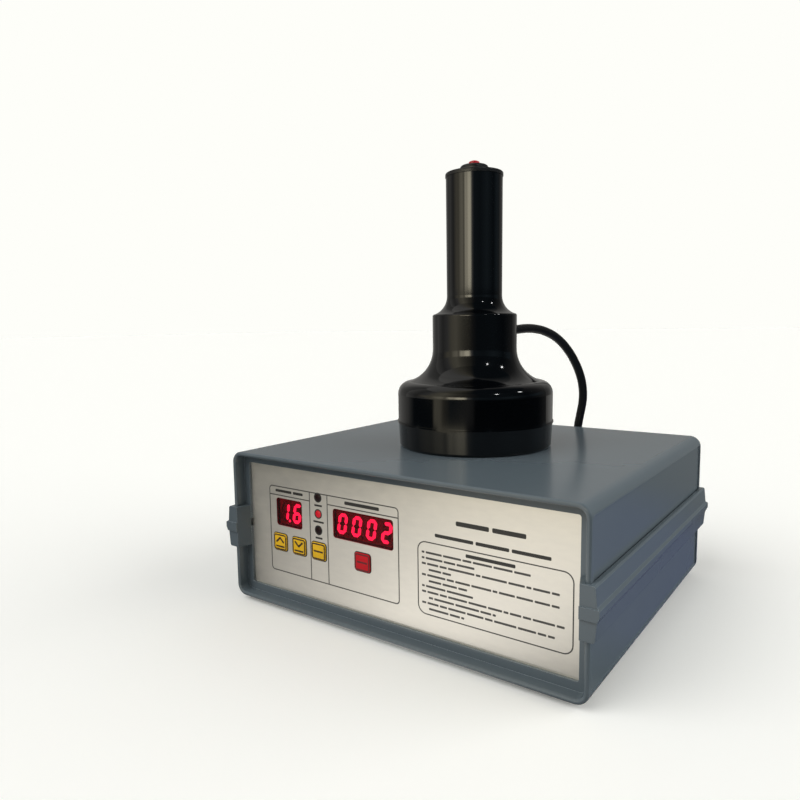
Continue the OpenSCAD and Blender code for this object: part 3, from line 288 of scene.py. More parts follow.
@dataclass(frozen=True)
class Finish:
    """A surface: its colour, how that drifts, a painted highlight on its edges, its gloss and its
    fine relief.
    """

    name: str
    colour: Colour
    roughness: float = 0.4
    rough_drift: float = 0.05
    metallic: float = 0.0
    specular: float = 0.5
    coat: float = 0.0
    coat_roughness: float = 0.08
    drift: float = 0.05
    drift_scale: float = 60.0
    grain_scale: float = 1500.0
    grain_depth: float = 0.01 * MM
    grain_strength: float = 0.15
    stretch: Place = UNSTRETCHED
    edge: float = 0.0
    # How much lighter a painted highlight makes the edges, or zero
    painted_edge_highlight: float = 0.0

    def material(self) -> bpy.types.Material:
        """Finds the material of this finish, and makes it at its first use.

        Returns:
            The material.
        """
        label = self.name + "_finish"
        found = bpy.data.materials.get(label)
        if found is not None:
            return found
        sheet = NodeSheet(label)
        self.paint(sheet)
        return sheet.material

    def paint(self, sheet: NodeSheet) -> None:
        """Fills the material's nodes.

        Args:
            sheet: The material's empty node sheet.
        """
        coords = sheet.coords(self.stretch)
        tone = sheet.noise(coords, self.drift_scale, DRIFT_DETAIL)
        tints = [shade(self.colour, 1 - self.drift), shade(self.colour, 1 + self.drift)]
        colour = sheet.ramp(tone, list(zip(NOISE_MIDDLE, tints)))
        # A painted highlight lightens the colour along the edges
        if self.painted_edge_highlight:
            colour = sheet.paint_edge_highlight(colour, self.edge, self.painted_edge_highlight)
        low, high = self.roughness - self.rough_drift, self.roughness + self.rough_drift
        shader = sheet.shader.inputs
        sheet.feed(shader["Base Color"], colour)
        sheet.feed(shader["Roughness"], sheet.span(tone, low, high))
        sheet.feed(shader["Metallic"], self.metallic)
        sheet.feed(shader["Specular IOR Level"], self.specular)
        sheet.feed(shader["Coat Weight"], self.coat)
        sheet.feed(shader["Coat Roughness"], self.coat_roughness)
        grain = sheet.noise(coords, self.grain_scale, GRAIN_DETAIL)
        sheet.bump(grain, self.grain_depth, self.grain_strength, self.edge)


@dataclass(frozen=True)
class TintedPane(Finish):
    """A clear tinted sheet that lights behind it shine through."""

    ior: float = 1.2

    def paint(self, sheet: NodeSheet) -> None:
        """Fills the material's nodes, with light passing through.

        Args:
            sheet: The material's empty node sheet.
        """
        super().paint(sheet)
        sheet.feed(sheet.shader.inputs["Transmission Weight"], 1.0)
        sheet.feed(sheet.shader.inputs["IOR"], self.ior)


@dataclass(frozen=True)
class Glow(Finish):
    """A lit surface, whose light drifts a little."""

    light: Colour = (1.0, 1.0, 1.0, 1.0)
    dimmest: float = 0.85
    power: float = 1.0

    def paint(self, sheet: NodeSheet) -> None:
        """Fills the material's nodes, with its own light.

        Args:
            sheet: The material's empty node sheet.
        """
        super().paint(sheet)
        tone = sheet.noise(sheet.coords(), self.drift_scale, GLOW_DETAIL)
        lights = [shade(self.light, self.dimmest), self.light]
        glow = sheet.ramp(tone, list(zip(NOISE_MIDDLE, lights)))
        sheet.feed(sheet.shader.inputs["Emission Color"], glow)
        sheet.feed(sheet.shader.inputs["Emission Strength"], self.power)


# The case's edges carry a painted highlight, lighter colour along every edge
CASE_PLASTIC = Finish(
    "case_plastic", srgb(98, 109, 115), roughness=0.2, rough_drift=0.004, drift=0.008,
    grain_scale=700, grain_strength=0.03, edge=0.4 * MM, painted_edge_highlight=3.5,
)
FILM = Finish(
    "silver_film", srgb(226, 222, 214), roughness=0.34, rough_drift=0.03, metallic=0.75,
    drift=0.025, drift_scale=300, grain_scale=1600, grain_strength=0.2, stretch=(0.35, 1.0, 1.0),
)
INK = Finish("panel_ink", srgb(38, 37, 36), roughness=0.5, drift=0.15, drift_scale=400)
SOFT_INK = Finish("panel_soft_ink", srgb(74, 73, 71), roughness=0.5, drift=0.15, drift_scale=400)
PLATE = Finish(
    "brushed_plate", srgb(178, 180, 182), roughness=0.36, metallic=1.0, drift=0.1,
    drift_scale=900, grain_scale=2500, grain_strength=0.25, stretch=(0.03, 1.0, 1.0),
)
RUBBER = Finish(
    "foot_rubber", srgb(38, 39, 41), roughness=0.75, grain_scale=1200, grain_strength=0.4,
)
STEEL = Finish(
    "screw_steel", srgb(190, 191, 193), roughness=0.28, metallic=1.0, drift=0.08, drift_scale=700,
)
PANE = TintedPane("red_pane", srgb(232, 62, 88), roughness=0.06, rough_drift=0.02, drift=0.02)
# The digit face shines a faint red: a painted glow, as the face between the bars gives no light
DISPLAY = Glow(
    "digit_face", srgb(22, 6, 9), roughness=0.5, light=srgb(150, 14, 40), power=0.2,
    drift_scale=160,
)
SEGMENT_LIT = Glow(
    "segment_lit", srgb(250, 120, 150), light=srgb(255, 118, 196), power=1.6, drift_scale=200,
)
SEGMENT_DARK = Finish("segment_dark", srgb(40, 10, 14), roughness=0.45)
LAMP_DARK = Finish("lamp_dark", srgb(30, 7, 11), roughness=0.3, specular=0.15)
LAMP_LIT = Glow(
    "lamp_lit", srgb(120, 6, 18), roughness=0.25, specular=0.3, light=srgb(236, 14, 40),
    power=0.5, drift_scale=500,
)
KEY_YELLOW = Finish("key_yellow", srgb(255, 200, 4), roughness=0.45, drift=0.03)
KEY_RED = Finish("key_red", srgb(216, 6, 30), roughness=0.45, drift=0.04, specular=0.3)
KEY_EDGE_INK = Finish("key_edge_ink", srgb(62, 42, 16), roughness=0.5, drift=0.1)
KEY_DARK_RED = Finish("key_dark_red", srgb(104, 6, 18), roughness=0.5, drift=0.1)
BOARD = Finish(
    "board_green", srgb(22, 84, 50), roughness=0.45, drift=0.25, drift_scale=350, coat=0.3,
)
BRASS = Finish("spacer_brass", srgb(196, 160, 84), roughness=0.3, metallic=1.0, drift=0.08)
SINK = Finish(
    "sink_aluminium", srgb(196, 198, 200), metallic=1.0, drift=0.08, stretch=(1.0, 0.05, 1.0),
)
COMPONENT = Finish("component_epoxy", srgb(30, 30, 32), roughness=0.5, drift=0.1)
CAPACITOR = Finish("capacitor_sleeve", srgb(28, 40, 78), roughness=0.3, coat=0.3)
FILM_CAPACITOR = Finish("film_capacitor", srgb(150, 44, 34), roughness=0.32, coat=0.4)
WINDING = Finish(
    "copper_winding", srgb(184, 104, 54), roughness=0.35, metallic=0.9, drift=0.25,
    drift_scale=1200,
)
BLACK_PLASTIC = Finish(
    "black_plastic", srgb(26, 27, 29), roughness=0.42, drift=0.1, grain_strength=0.3,
    edge=0.3 * MM,
)
ROCKER_RED = Finish("rocker_red", srgb(176, 24, 28), roughness=0.28, coat=0.4)
HEAD_PLASTIC = Finish(
    "head_plastic", srgb(3, 4, 6), roughness=0.085, rough_drift=0.02, drift=0.15, drift_scale=30,
    grain_scale=220, grain_depth=0.004 * MM, grain_strength=0.12,
)
FORMER = Finish("former_sheet", srgb(196, 172, 120), roughness=0.6, drift=0.1)
FERRITE = Finish("ferrite", srgb(52, 52, 54), roughness=0.5, drift=0.1)
CAP_PLASTIC = Finish(
    "cap_plastic", srgb(22, 23, 24), roughness=0.34, drift=0.1, grain_strength=0.25,
    edge=0.4 * MM,
)
TRIGGER_RED = Finish("trigger_red", srgb(204, 18, 38), roughness=0.3, coat=0.4)
CORD_RUBBER = Finish(
    "cord_rubber", srgb(18, 18, 19), roughness=0.38, drift=0.12, drift_scale=90, grain_scale=900,
    grain_depth=0.03 * MM, grain_strength=0.25,
)
TIE = Finish("tie_strap", srgb(50, 51, 53), roughness=0.6, grain_scale=900, grain_strength=0.4)


class Bench:
    """Modelling steps shared by the sub-assemblies. Lengths are in metres."""

    @staticmethod
    def pick(piece: bpy.types.Object) -> None:
        """Selects one object alone and makes it active.

        Args:
            piece: The object.
        """
        bpy.ops.object.select_all(action="DESELECT")
        piece.select_set(True)
        bpy.context.view_layer.objects.active = piece

    @staticmethod
    @contextmanager
    def editing(piece: bpy.types.Object) -> Iterator[None]:
        """Holds one object in edit mode.

        Args:
            piece: The object.

        Yields:
            Nothing, while the object is in edit mode.
        """
        Bench.pick(piece)
        bpy.ops.object.mode_set(mode="EDIT")
        try:
            yield
        finally:
            bpy.ops.object.mode_set(mode="OBJECT")

    @staticmethod
    def blank(name: str) -> bpy.types.Object:
        """Starts an empty mesh object at the origin.

        Args:
            name: The object's name.

        Returns:
            The new object.
        """
        bpy.ops.object.select_all(action="DESELECT")
        bpy.ops.object.add(type="MESH")
        piece = bpy.context.object
        piece.name = name
        return piece

    @staticmethod
    def hollow(line: float) -> None:
        """Leaves only a line along the border of the flat face selected in edit mode."""
        bpy.ops.mesh.inset(thickness=line, depth=0)
        bpy.ops.mesh.delete(type="FACE")

    @staticmethod
    def thicken(piece: bpy.types.Object, thickness: float) -> None:
        """Gives flat faces a thickness towards their front.

        Args:
            piece: The flat object.
            thickness: Its new thickness.
        """
        Bench.pick(piece)
        wall = piece.modifiers.new("thickness", "SOLIDIFY")
        wall.thickness = thickness
        wall.offset = 1.0
        bpy.ops.object.modifier_apply(modifier=wall.name)

    @staticmethod
    def dress(piece: bpy.types.Object, finish: Finish) -> None:
        """Gives an object one finish all over."""
        piece.data.materials.clear()
        piece.data.materials.append(finish.material())

    @staticmethod
    def mount(piece: bpy.types.Object, finish: Finish, body: Body, slot: str) -> None:
        """Finishes a new piece and lets it ride on its body.

        Args:
            piece: The new object, in place.
            finish: Its surface.
            body: The body that carries it.
            slot: The record's material slot that its finish belongs to; not used.
        """
        Bench.dress(piece, finish)
        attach(piece, body.value)
        log.info("piece %s rides on %s", piece.name, body.value)


@dataclass
class SubAssembly:
    """A group of solids, each with its finish by node name."""

    finishes: dict[str, Finish] = field(default_factory=dict)

    def build(self) -> None:
        """Gives the solids their finishes."""
        for node, finish in self.finishes.items():
            Bench.dress(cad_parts[node], finish)
            log.info("solid %s has the finish %s", node, finish.name)


@dataclass
class FlatPrint:
    """A thin flat piece on an upright face, drawn bar by bar. Lengths are in millimetres."""

    name: str
    face: float
    thickness: float
    finish: Finish
    body: Body
    slot: str
    facing: float = QUARTER_TURN

    @contextmanager
    def drawing(self) -> Iterator[None]:
        """Holds the new piece in edit mode, and then thickens and mounts it.

        Yields:
            Nothing, while bars can be added.
        """
        piece = Bench.blank(self.name)
        with Bench.editing(piece):
            yield
        Bench.thicken(piece, self.thickness * MM)
        Bench.mount(piece, self.finish, self.body, self.slot)

    def bar(
        self, x: float, z: float, width: float, height: float,
        turn: float = 0.0, corner: float = 0.0, steps: int = 2, line: float = 0.0,
    ) -> None:
        """Adds a bar, or its outline.

        Args:
            x: Middle of the bar along X.
            z: Middle of the bar along Z.
            width: Size along X.
            height: Size along Z.
            turn: Turn about its middle, in radians, against the clock from the front.
            corner: Rounding of its corners, or zero.
            steps: Edges across a rounded corner.
            line: Width of its outline, or zero for a full bar.
        """
        centre = (x * MM, self.face * MM, z * MM)
        bpy.ops.mesh.select_all(action="DESELECT")
        bpy.ops.mesh.primitive_plane_add(size=1, location=centre, rotation=(self.facing, 0, 0))
        bpy.ops.transform.resize(value=(width * MM, 1, height * MM), center_override=centre)
        if turn:
            bpy.ops.transform.rotate(value=turn, orient_axis="Y", center_override=centre)
        if corner:
            bpy.ops.mesh.bevel(
                offset=corner * MM, segments=steps, affect="VERTICES", profile=ROUND_PROFILE,
            )
        if line:
            Bench.hollow(line * MM)


@dataclass
class PhotoCamera:
    """The camera, at the photograph's place and angle, in millimetres and degrees."""

    place: Place = (249.38, -437.08, 200.75)
    yaw: float = 36.113
    pitch: float = 6.363
    roll: float = -0.8145
    lens: float = 30.09
    sensor: float = 36.0
    nearest: float = 10.0

    def build(self) -> None:
        """Makes the camera and puts it in use."""
        yaw, pitch, roll = (math.radians(angle) for angle in (self.yaw, self.pitch, self.roll))
        flat = math.cos(pitch)
        ahead = Vector((-math.sin(yaw) * flat, math.cos(yaw) * flat, -math.sin(pitch)))
        level = Vector((math.cos(yaw), math.sin(yaw), 0.0))
        above = level.cross(ahead)
        across = math.cos(roll) * level + math.sin(roll) * above
        up = across.cross(ahead)
        camera = bpy.data.cameras.new("photo_camera")
        camera.lens = self.lens
        camera.sensor_width = self.sensor
        camera.clip_start = self.nearest * MM
        rig = bpy.data.objects.new("photo_camera", camera)
        bpy.context.scene.collection.objects.link(rig)
        turned = Matrix((across, up, -ahead)).transposed().to_4x4()
        rig.matrix_world = Matrix.Translation(Vector(self.place) * MM) @ turned
        bpy.context.scene.camera = rig


@dataclass
class HeadCord:
    """The cord from the head's neck, down behind the case into a tied coil and to the gland.

    The diameter and the length are in metres, places and the coil's sizes in millimetres, and
    the coil's stretches in degrees from its start.
    """

    diameter: float = 7.2 * MM
    length: float = 1.02
    coil_centre: Span = (-9.0, 185.0)
    outer_turn: float = 45.4
    inner_turn: float = 38.0
    low_layer: float = 4.4
    high_layer: float = 11.6
    step: float = 20.0
    swerve: Span = (260.0, 330.0)
    climb: Span = (560.0, 620.0)
    last_turn: float = 900.0
    round_steps: int = 6
    run_steps: int = 6
    holders: Sequence[str] = ("cord_boot", "cable_gland", "cord_tie")
    route: Sequence[Place] = (
        (6.6, 36, 196), (9.3, 50, 196.2), (11.9, 62, 196.9), (14.6, 74, 196.4), (18, 87, 194),
        (22.6, 102, 187.6), (26.8, 114, 177.8), (29.8, 123, 167), (31.9, 130, 155.4),
        (33, 134, 143.5), (32.4, 136, 132.2), (30.4, 136.4, 120.8), (28.6, 136, 110),
        (27.2, 135.4, 92), (27, 135.4, 74), (27.8, 137, 56), (29.6, 142, 38.5),
        (32.2, 151, 22.5), (34.6, 162.5, 11), (36, 175, 5.6),
    )
    tail: Sequence[Place] = (
        (-47, 173, 12.4), (-47, 162, 15.4), (-47, 151.5, 21), (-47, 141, 26), (-47, 130, 28),
        (-47, 118, 28),
    )

    def coil(self) -> list[Place]:
        """Points along the coil's turns.

        Returns:
            Points from the end of the route to the start of the tail, in millimetres.
        """
        points = []
        for number in range(round(self.last_turn / self.step) + 1):
            turn = number * self.step
            inward = self.ease(turn, self.swerve)
            lift = self.ease(turn, self.climb)
            radius = self.outer_turn + (self.inner_turn - self.outer_turn) * inward
            angle = math.radians(turn)
            points.append((
                self.coil_centre[0] + radius * math.cos(angle),
                self.coil_centre[1] + radius * math.sin(angle),
                self.low_layer + (self.high_layer - self.low_layer) * lift,
            ))
        return points

    @staticmethod
    def ease(turn: float, stretch: Span) -> float:
        """Share, from 0 to 1, of a smooth change that runs over a stretch of the coil."""
        share = min(1.0, max(0.0, (turn - stretch[0]) / (stretch[1] - stretch[0])))
        return share * share * (3 - 2 * share)

    def build(self) -> None:
        points = [*self.route, *self.coil(), *self.tail]
        curve = bpy.data.curves.new("head_cord_run", "CURVE")
        curve.dimensions = "3D"
        curve.bevel_depth = self.diameter / 2
        curve.bevel_resolution = self.round_steps
        curve.resolution_u = self.run_steps
        curve.use_fill_caps = True
        line = curve.splines.new("BEZIER")
        line.bezier_points.add(len(points) - 1)
        for knot, point in zip(line.bezier_points, points):
            knot.co = Vector(point) * MM
            knot.handle_left_type = knot.handle_right_type = "AUTO"
        cord = bpy.data.objects.new("head_cord_run", curve)
        bpy.context.scene.collection.objects.link(cord)
        Bench.mount(cord, CORD_RUBBER, Body.CASE, "cord")
        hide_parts("head_cord", "cord_coil", "cord_tail")


class Tint(Enum):
    """Colours of the room's light."""

    WARM = (1.0, 0.92, 0.7, 1.0)
    PLAIN = (1.0, 0.98, 0.93, 1.0)
    COOL = (0.62, 0.86, 1.0, 1.0)
    BLUE = (0.34, 0.4, 1.0, 1.0)


WARM, PLAIN, COOL, BLUE = Tint


@dataclass(frozen=True)
class RoomPaint:
    """The light of a part of the room: levels and tints by azimuth in degrees from the front."""

    name: str
    stops: Sequence[tuple[float, float, Tint]]
    brightest: float = 1.0

    @staticmethod
    def turn(azimuth: float) -> float:
        """Share of a turn at which the radial pattern meets an azimuth."""
        return ((azimuth - 90) / 360 + 0.5) % 1.0

    def material(self) -> bpy.types.Material:
        """Makes the light's material.

        Returns:
            A material that only shines.
        """
        sheet = NodeSheet(self.name)
        place = {"Vector": sheet.coords()}
        around = sheet.node("ShaderNodeTexGradient", place, gradient_type="RADIAL").outputs["Fac"]
        stops = sorted((self.turn(at), level, tint.value) for at, level, tint in self.stops)
        ring = [(at, shade(tint, level / self.brightest)) for at, level, tint in stops]
        shader = sheet.shader.inputs
        sheet.feed(shader["Base Color"], BLACK)
        sheet.feed(shader["Specular IOR Level"], 0.0)
        sheet.feed(shader["Emission Color"], sheet.ramp(around, ring))
        sheet.feed(shader["Emission Strength"], self.brightest)
        return sheet.material


ROOM_WALLS = RoomPaint("room_walls", (
    (-112, 0.25, PLAIN), (-88, 0.42, PLAIN), (-64, 0.24, PLAIN), (-48, 0.44, PLAIN),
    (-34, 0.9, WARM), (-21, 1.1, WARM), (-9, 0.75, WARM), (3, 0.45, WARM), (14, 0.3, WARM),
    (25, 0.11, PLAIN), (36, 0.06, COOL), (81, 0.07, COOL), (112, 0.03, COOL), (152, 0.1, PLAIN),
    (190, 0.36, PLAIN), (240, 0.36, PLAIN),
))
ROOM_WINDOW = RoomPaint("room_window", (
    (-112, 0.23, PLAIN), (-88, 0.37, PLAIN), (-64, 0.2, PLAIN), (-46, 0.8, WARM),
    (-36, 0.8, WARM), (-29, 1.6, WARM), (-19, 2.0, WARM), (-13, 1.0, WARM), (-6, 4.6, WARM),
    (0, 4.0, WARM), (6, 6.4, WARM), (14, 6.4, WARM), (20, 0.7, PLAIN), (28, 0.14, COOL),
    (54, 0.1, COOL), (81, 0.19, COOL), (112, 0.05, COOL), (130, 0.14, COOL), (152, 0.1, PLAIN),
    (190, 0.3, PLAIN), (204, 0.35, PLAIN), (218, 0.3, PLAIN), (240, 0.3, PLAIN),
), brightest=6.4)
NEAR_RUG = RoomPaint("near_rug", (
    (-108, 0.3, PLAIN), (-62, 0.1, PLAIN), (-50, 0.08, PLAIN), (-43, 0.42, PLAIN),
    (-24, 0.8, PLAIN), (-6, 1.2, PLAIN), (14, 1.2, PLAIN), (30, 0.85, PLAIN), (44, 0.25, PLAIN),
    (60, 0.04, COOL), (84, 0.16, BLUE), (140, 0.16, BLUE), (152, 0.07, PLAIN),
    (170, 0.5, PLAIN), (215, 0.6, PLAIN), (240, 0.4, PLAIN),
), brightest=1.2)
MIDDLE_RUG = RoomPaint("middle_rug", (
    (-108, 0.16, PLAIN), (-84, 0.1, PLAIN), (-66, 0.05, COOL), (-27, 0.05, COOL),
    (-22, 0.9, WARM), (14, 1.0, WARM), (20, 0.1, PLAIN), (26, 0.02, COOL), (130, 0.015, COOL),
    (160, 0.12, PLAIN), (216, 0.2, PLAIN),
))
FAR_RUG = RoomPaint("far_rug", (
    (-108, 0.28, PLAIN), (-84, 0.26, PLAIN), (-68, 0.03, COOL), (-32, 0.03, COOL),
    (-29, 0.95, WARM), (-20, 0.85, WARM), (-15, 0.3, WARM), (-4, 0.09, COOL), (20, 0.17, PLAIN),
    (27, 0.12, PLAIN), (31, 0.012, COOL), (130, 0.012, COOL), (150, 0.06, PLAIN),
    (162, 0.4, PLAIN), (172, 0.4, PLAIN), (216, 0.2, PLAIN),
))
ROOM_CEILING = RoomPaint("room_ceiling", (
    (-112, 0.6, PLAIN), (-60, 0.7, PLAIN), (-20, 0.6, WARM), (8, 0.25, WARM), (28, 0.06, COOL),
    (150, 0.04, COOL), (205, 0.3, PLAIN),
))


@dataclass(frozen=True)
class WallBand:
    """An upright band round the room, in metres."""

    paint: RoomPaint
    radius: float
    low: float
    high: float


@dataclass(frozen=True)
class LevelRing:
    """A level ring of the room, a rug or the ceiling, in metres."""

    paint: RoomPaint
    hole: float
    radius: float
    height: float


@dataclass(frozen=True)
class BroadLight:
    """A broad, far light: its strength, and its spread and place in degrees."""

    name: str
    strength: float
    spread: float
    azimuth: float
    elevation: float


@dataclass
class Studio:
    """Pale floor, soft light and the dim room that only glossy surfaces mirror."""

    backdrop: Colour = srgb(254, 254, 249)
    floor_side: float = 40.0
    floor_paint: Colour = srgb(251, 251, 246)
    floor_bounce: Colour = srgb(150, 150, 148)
    floor_roughness: float = 0.9
    floor_glow: float = 0.125
    horizon_light: float = 0.95
    zenith_light: float = 0.3
    dim_towards: Place = (0.56, -0.81, 0.17)
    dim_span: Span = (0.5, 0.97)
    dim_light: float = 0.3
    broad_lights: Sequence[BroadLight] = (
        BroadLight("key_light", strength=1.4, spread=50.0, azimuth=-30.0, elevation=46.0),
        BroadLight("fill_light", strength=1.9, spread=60.0, azimuth=118.0, elevation=20.0),
    )
    spot_azimuths: Span = (67.0, 114.0)
    spot_elevation: float = 45.0
    spot_distance: float = 1.7
    spot_size: float = 0.12
    spot_power: float = 1.0
    room_sides: int = 96
    bands: Sequence[WallBand] = (
        WallBand(ROOM_WALLS, radius=1.8, low=0.0, high=2.2),
        WallBand(ROOM_WINDOW, radius=1.75, low=0.3, high=0.7),
    )
    rings: Sequence[LevelRing] = (
        LevelRing(NEAR_RUG, hole=0.1, radius=0.45, height=0.002),
        LevelRing(MIDDLE_RUG, hole=0.45, radius=0.9, height=0.002),
        LevelRing(FAR_RUG, hole=0.9, radius=2.2, height=0.002),
        LevelRing(ROOM_CEILING, hole=0.01, radius=1.8, height=2.2),
    )

    def world(self) -> None:
        """Makes a pale background that gives the object an even, softer light."""
        world = bpy.data.worlds.new("studio")
        world.use_nodes = True
        sky = NodeTree(world.node_tree)
        sky.tree.nodes.clear()
        towards = sky.node("ShaderNodeTexCoord", {}).outputs["Generated"]
        height = sky.node("ShaderNodeSeparateXYZ", {"Vector": towards}).outputs["Z"]
        level = {"Value": height, "To Min": self.horizon_light, "To Max": self.zenith_light}
        even = sky.node("ShaderNodeMapRange", level).outputs["Result"]
        start, end = self.dim_span
        fall = {
            "Value": sky.alike(towards, self.dim_towards), "From Min": start, "From Max": end,
            "To Min": 1.0, "To Max": self.dim_light,
        }
        dim = sky.node("ShaderNodeMapRange", fall).outputs["Result"]
        soft = sky.node("ShaderNodeBackground", {"Strength": sky.math("MULTIPLY", even, dim)})
        shown = sky.node("ShaderNodeBackground", {"Color": self.backdrop})
        mix = sky.node("ShaderNodeMixShader", {"Fac": sky.shown()})
        sky.feed(mix.inputs[1], soft.outputs["Background"])
        sky.feed(mix.inputs[2], shown.outputs["Background"])
        sky.node("ShaderNodeOutputWorld", {"Surface": mix.outputs["Shader"]})
        world.cycles_visibility.glossy = False
        bpy.context.scene.world = world

    def floor(self) -> None:
        """Lays the pale floor, which looks white and throws back less light."""
        bpy.ops.object.select_all(action="DESELECT")
        bpy.ops.mesh.primitive_plane_add(size=self.floor_side)
        floor = bpy.context.object
        floor.name = "floor"
        sheet = NodeSheet("floor_paint")
        shown = sheet.shown()
        paint = sheet.node("ShaderNodeMix", {}, data_type="RGBA")
        sheet.feed(paint.inputs[MIX_SHARE], shown)
        sheet.feed(paint.inputs[MIX_FIRST], self.floor_bounce)
        sheet.feed(paint.inputs[MIX_SECOND], self.floor_paint)
        shader = sheet.shader.inputs
        sheet.feed(shader["Base Color"], paint.outputs[MIX_RESULT])
        sheet.feed(shader["Roughness"], self.floor_roughness)
        sheet.feed(shader["Specular IOR Level"], 0.0)
        sheet.feed(shader["Emission Color"], self.backdrop)
        sheet.feed(shader["Emission Strength"], sheet.math("MULTIPLY", shown, self.floor_glow))
        floor.data.materials.append(sheet.material)

    @staticmethod
    def mirror(card: bpy.types.Object, paint: RoomPaint) -> None:
        """Lets a card show in glossy surfaces and nowhere else.

        Args:
            card: The card, selected alone.
            paint: Its light.
        """
        bpy.ops.object.transform_apply(location=True, rotation=False, scale=False)
        card.name = paint.name
        card.data.materials.append(paint.material())
        card.visible_camera = card.visible_diffuse = card.visible_transmission = False
        card.visible_shadow = card.visible_volume_scatter = False

    def room(self) -> None:
        """Stands the dim room round the object: walls, rugs and ceiling."""
        for band in self.bands:
            bpy.ops.object.select_all(action="DESELECT")
            bpy.ops.mesh.primitive_cylinder_add(
                vertices=self.room_sides, radius=band.radius, depth=band.high - band.low,
                end_fill_type="NOTHING", location=(0, 0, (band.low + band.high) / 2),
            )
            self.mirror(bpy.context.object, band.paint)
        for ring in self.rings:
            bpy.ops.object.select_all(action="DESELECT")
            bpy.ops.mesh.primitive_circle_add(
                vertices=self.room_sides, radius=ring.radius, fill_type="NGON",
                location=(0, 0, ring.height),
            )
            with Bench.editing(bpy.context.object):
                bpy.ops.mesh.select_all(action="SELECT")
                Bench.hollow(ring.radius - ring.hole)
            self.mirror(bpy.context.object, ring.paint)

    @staticmethod
    def towards(azimuth: float, elevation: float) -> Vector:
        """Finds the direction of a light.

        Args:
            azimuth: Its turn round the object, in degrees from the front.
            elevation: Its height, in degrees.

        Returns:
            The direction from the object to the light.
        """
        turn, rise = math.radians(azimuth), math.radians(elevation)
        level = math.cos(rise)
        return Vector((math.sin(turn) * level, -math.cos(turn) * level, math.sin(rise)))

    def hang_broad_lights(self) -> None:
        """Hangs the light at the front left and above, and the low one at the back right."""
        for light in self.broad_lights:
            lamp = bpy.data.lights.new(light.name, "SUN")
            lamp.energy = light.strength
            lamp.angle = math.radians(light.spread)
            rig = bpy.data.objects.new(light.name, lamp)
            way = self.towards(light.azimuth, light.elevation)
            rig.rotation_euler = way.to_track_quat("Z", "Y").to_euler()
            rig.visible_glossy = False
            bpy.context.scene.collection.objects.link(rig)

    def hang_spots(self) -> None:
        """Hangs the two small lamps that glint on the head's rounded edges."""
        for number, azimuth in enumerate(self.spot_azimuths, 1):
            lamp = bpy.data.lights.new(f"spot_{number}", "AREA")
            lamp.shape = "DISK"
            lamp.size = self.spot_size
            lamp.energy = self.spot_power
            rig = bpy.data.objects.new(f"spot_{number}", lamp)
            way = self.towards(azimuth, self.spot_elevation)
            rig.location = way * self.spot_distance
            rig.rotation_euler = way.to_track_quat("Z", "Y").to_euler()
            rig.visible_diffuse = False
            bpy.context.scene.collection.objects.link(rig)

    def build(self) -> None:
        """Sets up background, floor, room and lights."""
        bpy.context.scene.view_settings.view_transform = "Standard"
        self.world()
        self.floor()
        self.room()
        self.hang_broad_lights()
        self.hang_spots()


@dataclass
class CaseShells(SubAssembly):
    """The two shells, the side strips, the feet and their screws."""

    finishes: dict[str, Finish] = field(default_factory=lambda: {
        "top_shell": CASE_PLASTIC, "bottom_shell": CASE_PLASTIC, "side_strip_left": CASE_PLASTIC,
        "side_strip_right": CASE_PLASTIC, "rubber_feet": RUBBER, "shell_screws": STEEL,
    })


class KeyMark(Enum):
    """Signs on the keys, with the way that a chevron points."""

    UP = 1
    DOWN = -1
    BAR = 0


@dataclass(frozen=True)
class PanelKey:
    """One key, yellow unless told otherwise: its node, body, place, sign, finish and ink."""

    node: str
    body: Body
    x: float
    mark: KeyMark
    finish: Finish = KEY_YELLOW
    slot: str = "key_yellow"
    ink: Finish = KEY_EDGE_INK


@dataclass(frozen=True)
class DigitRow:
    """One display: the middles of its digits, left to right, and what it shows."""

    name: str
    centres: Sequence[float]
    shows: str
    point_after: int = -1


@dataclass(frozen=True)
class Heading:
    """A row of bars about its middle: their height and lengths."""

    x: float
    z: float
    height: float
    lengths: Sequence[float]


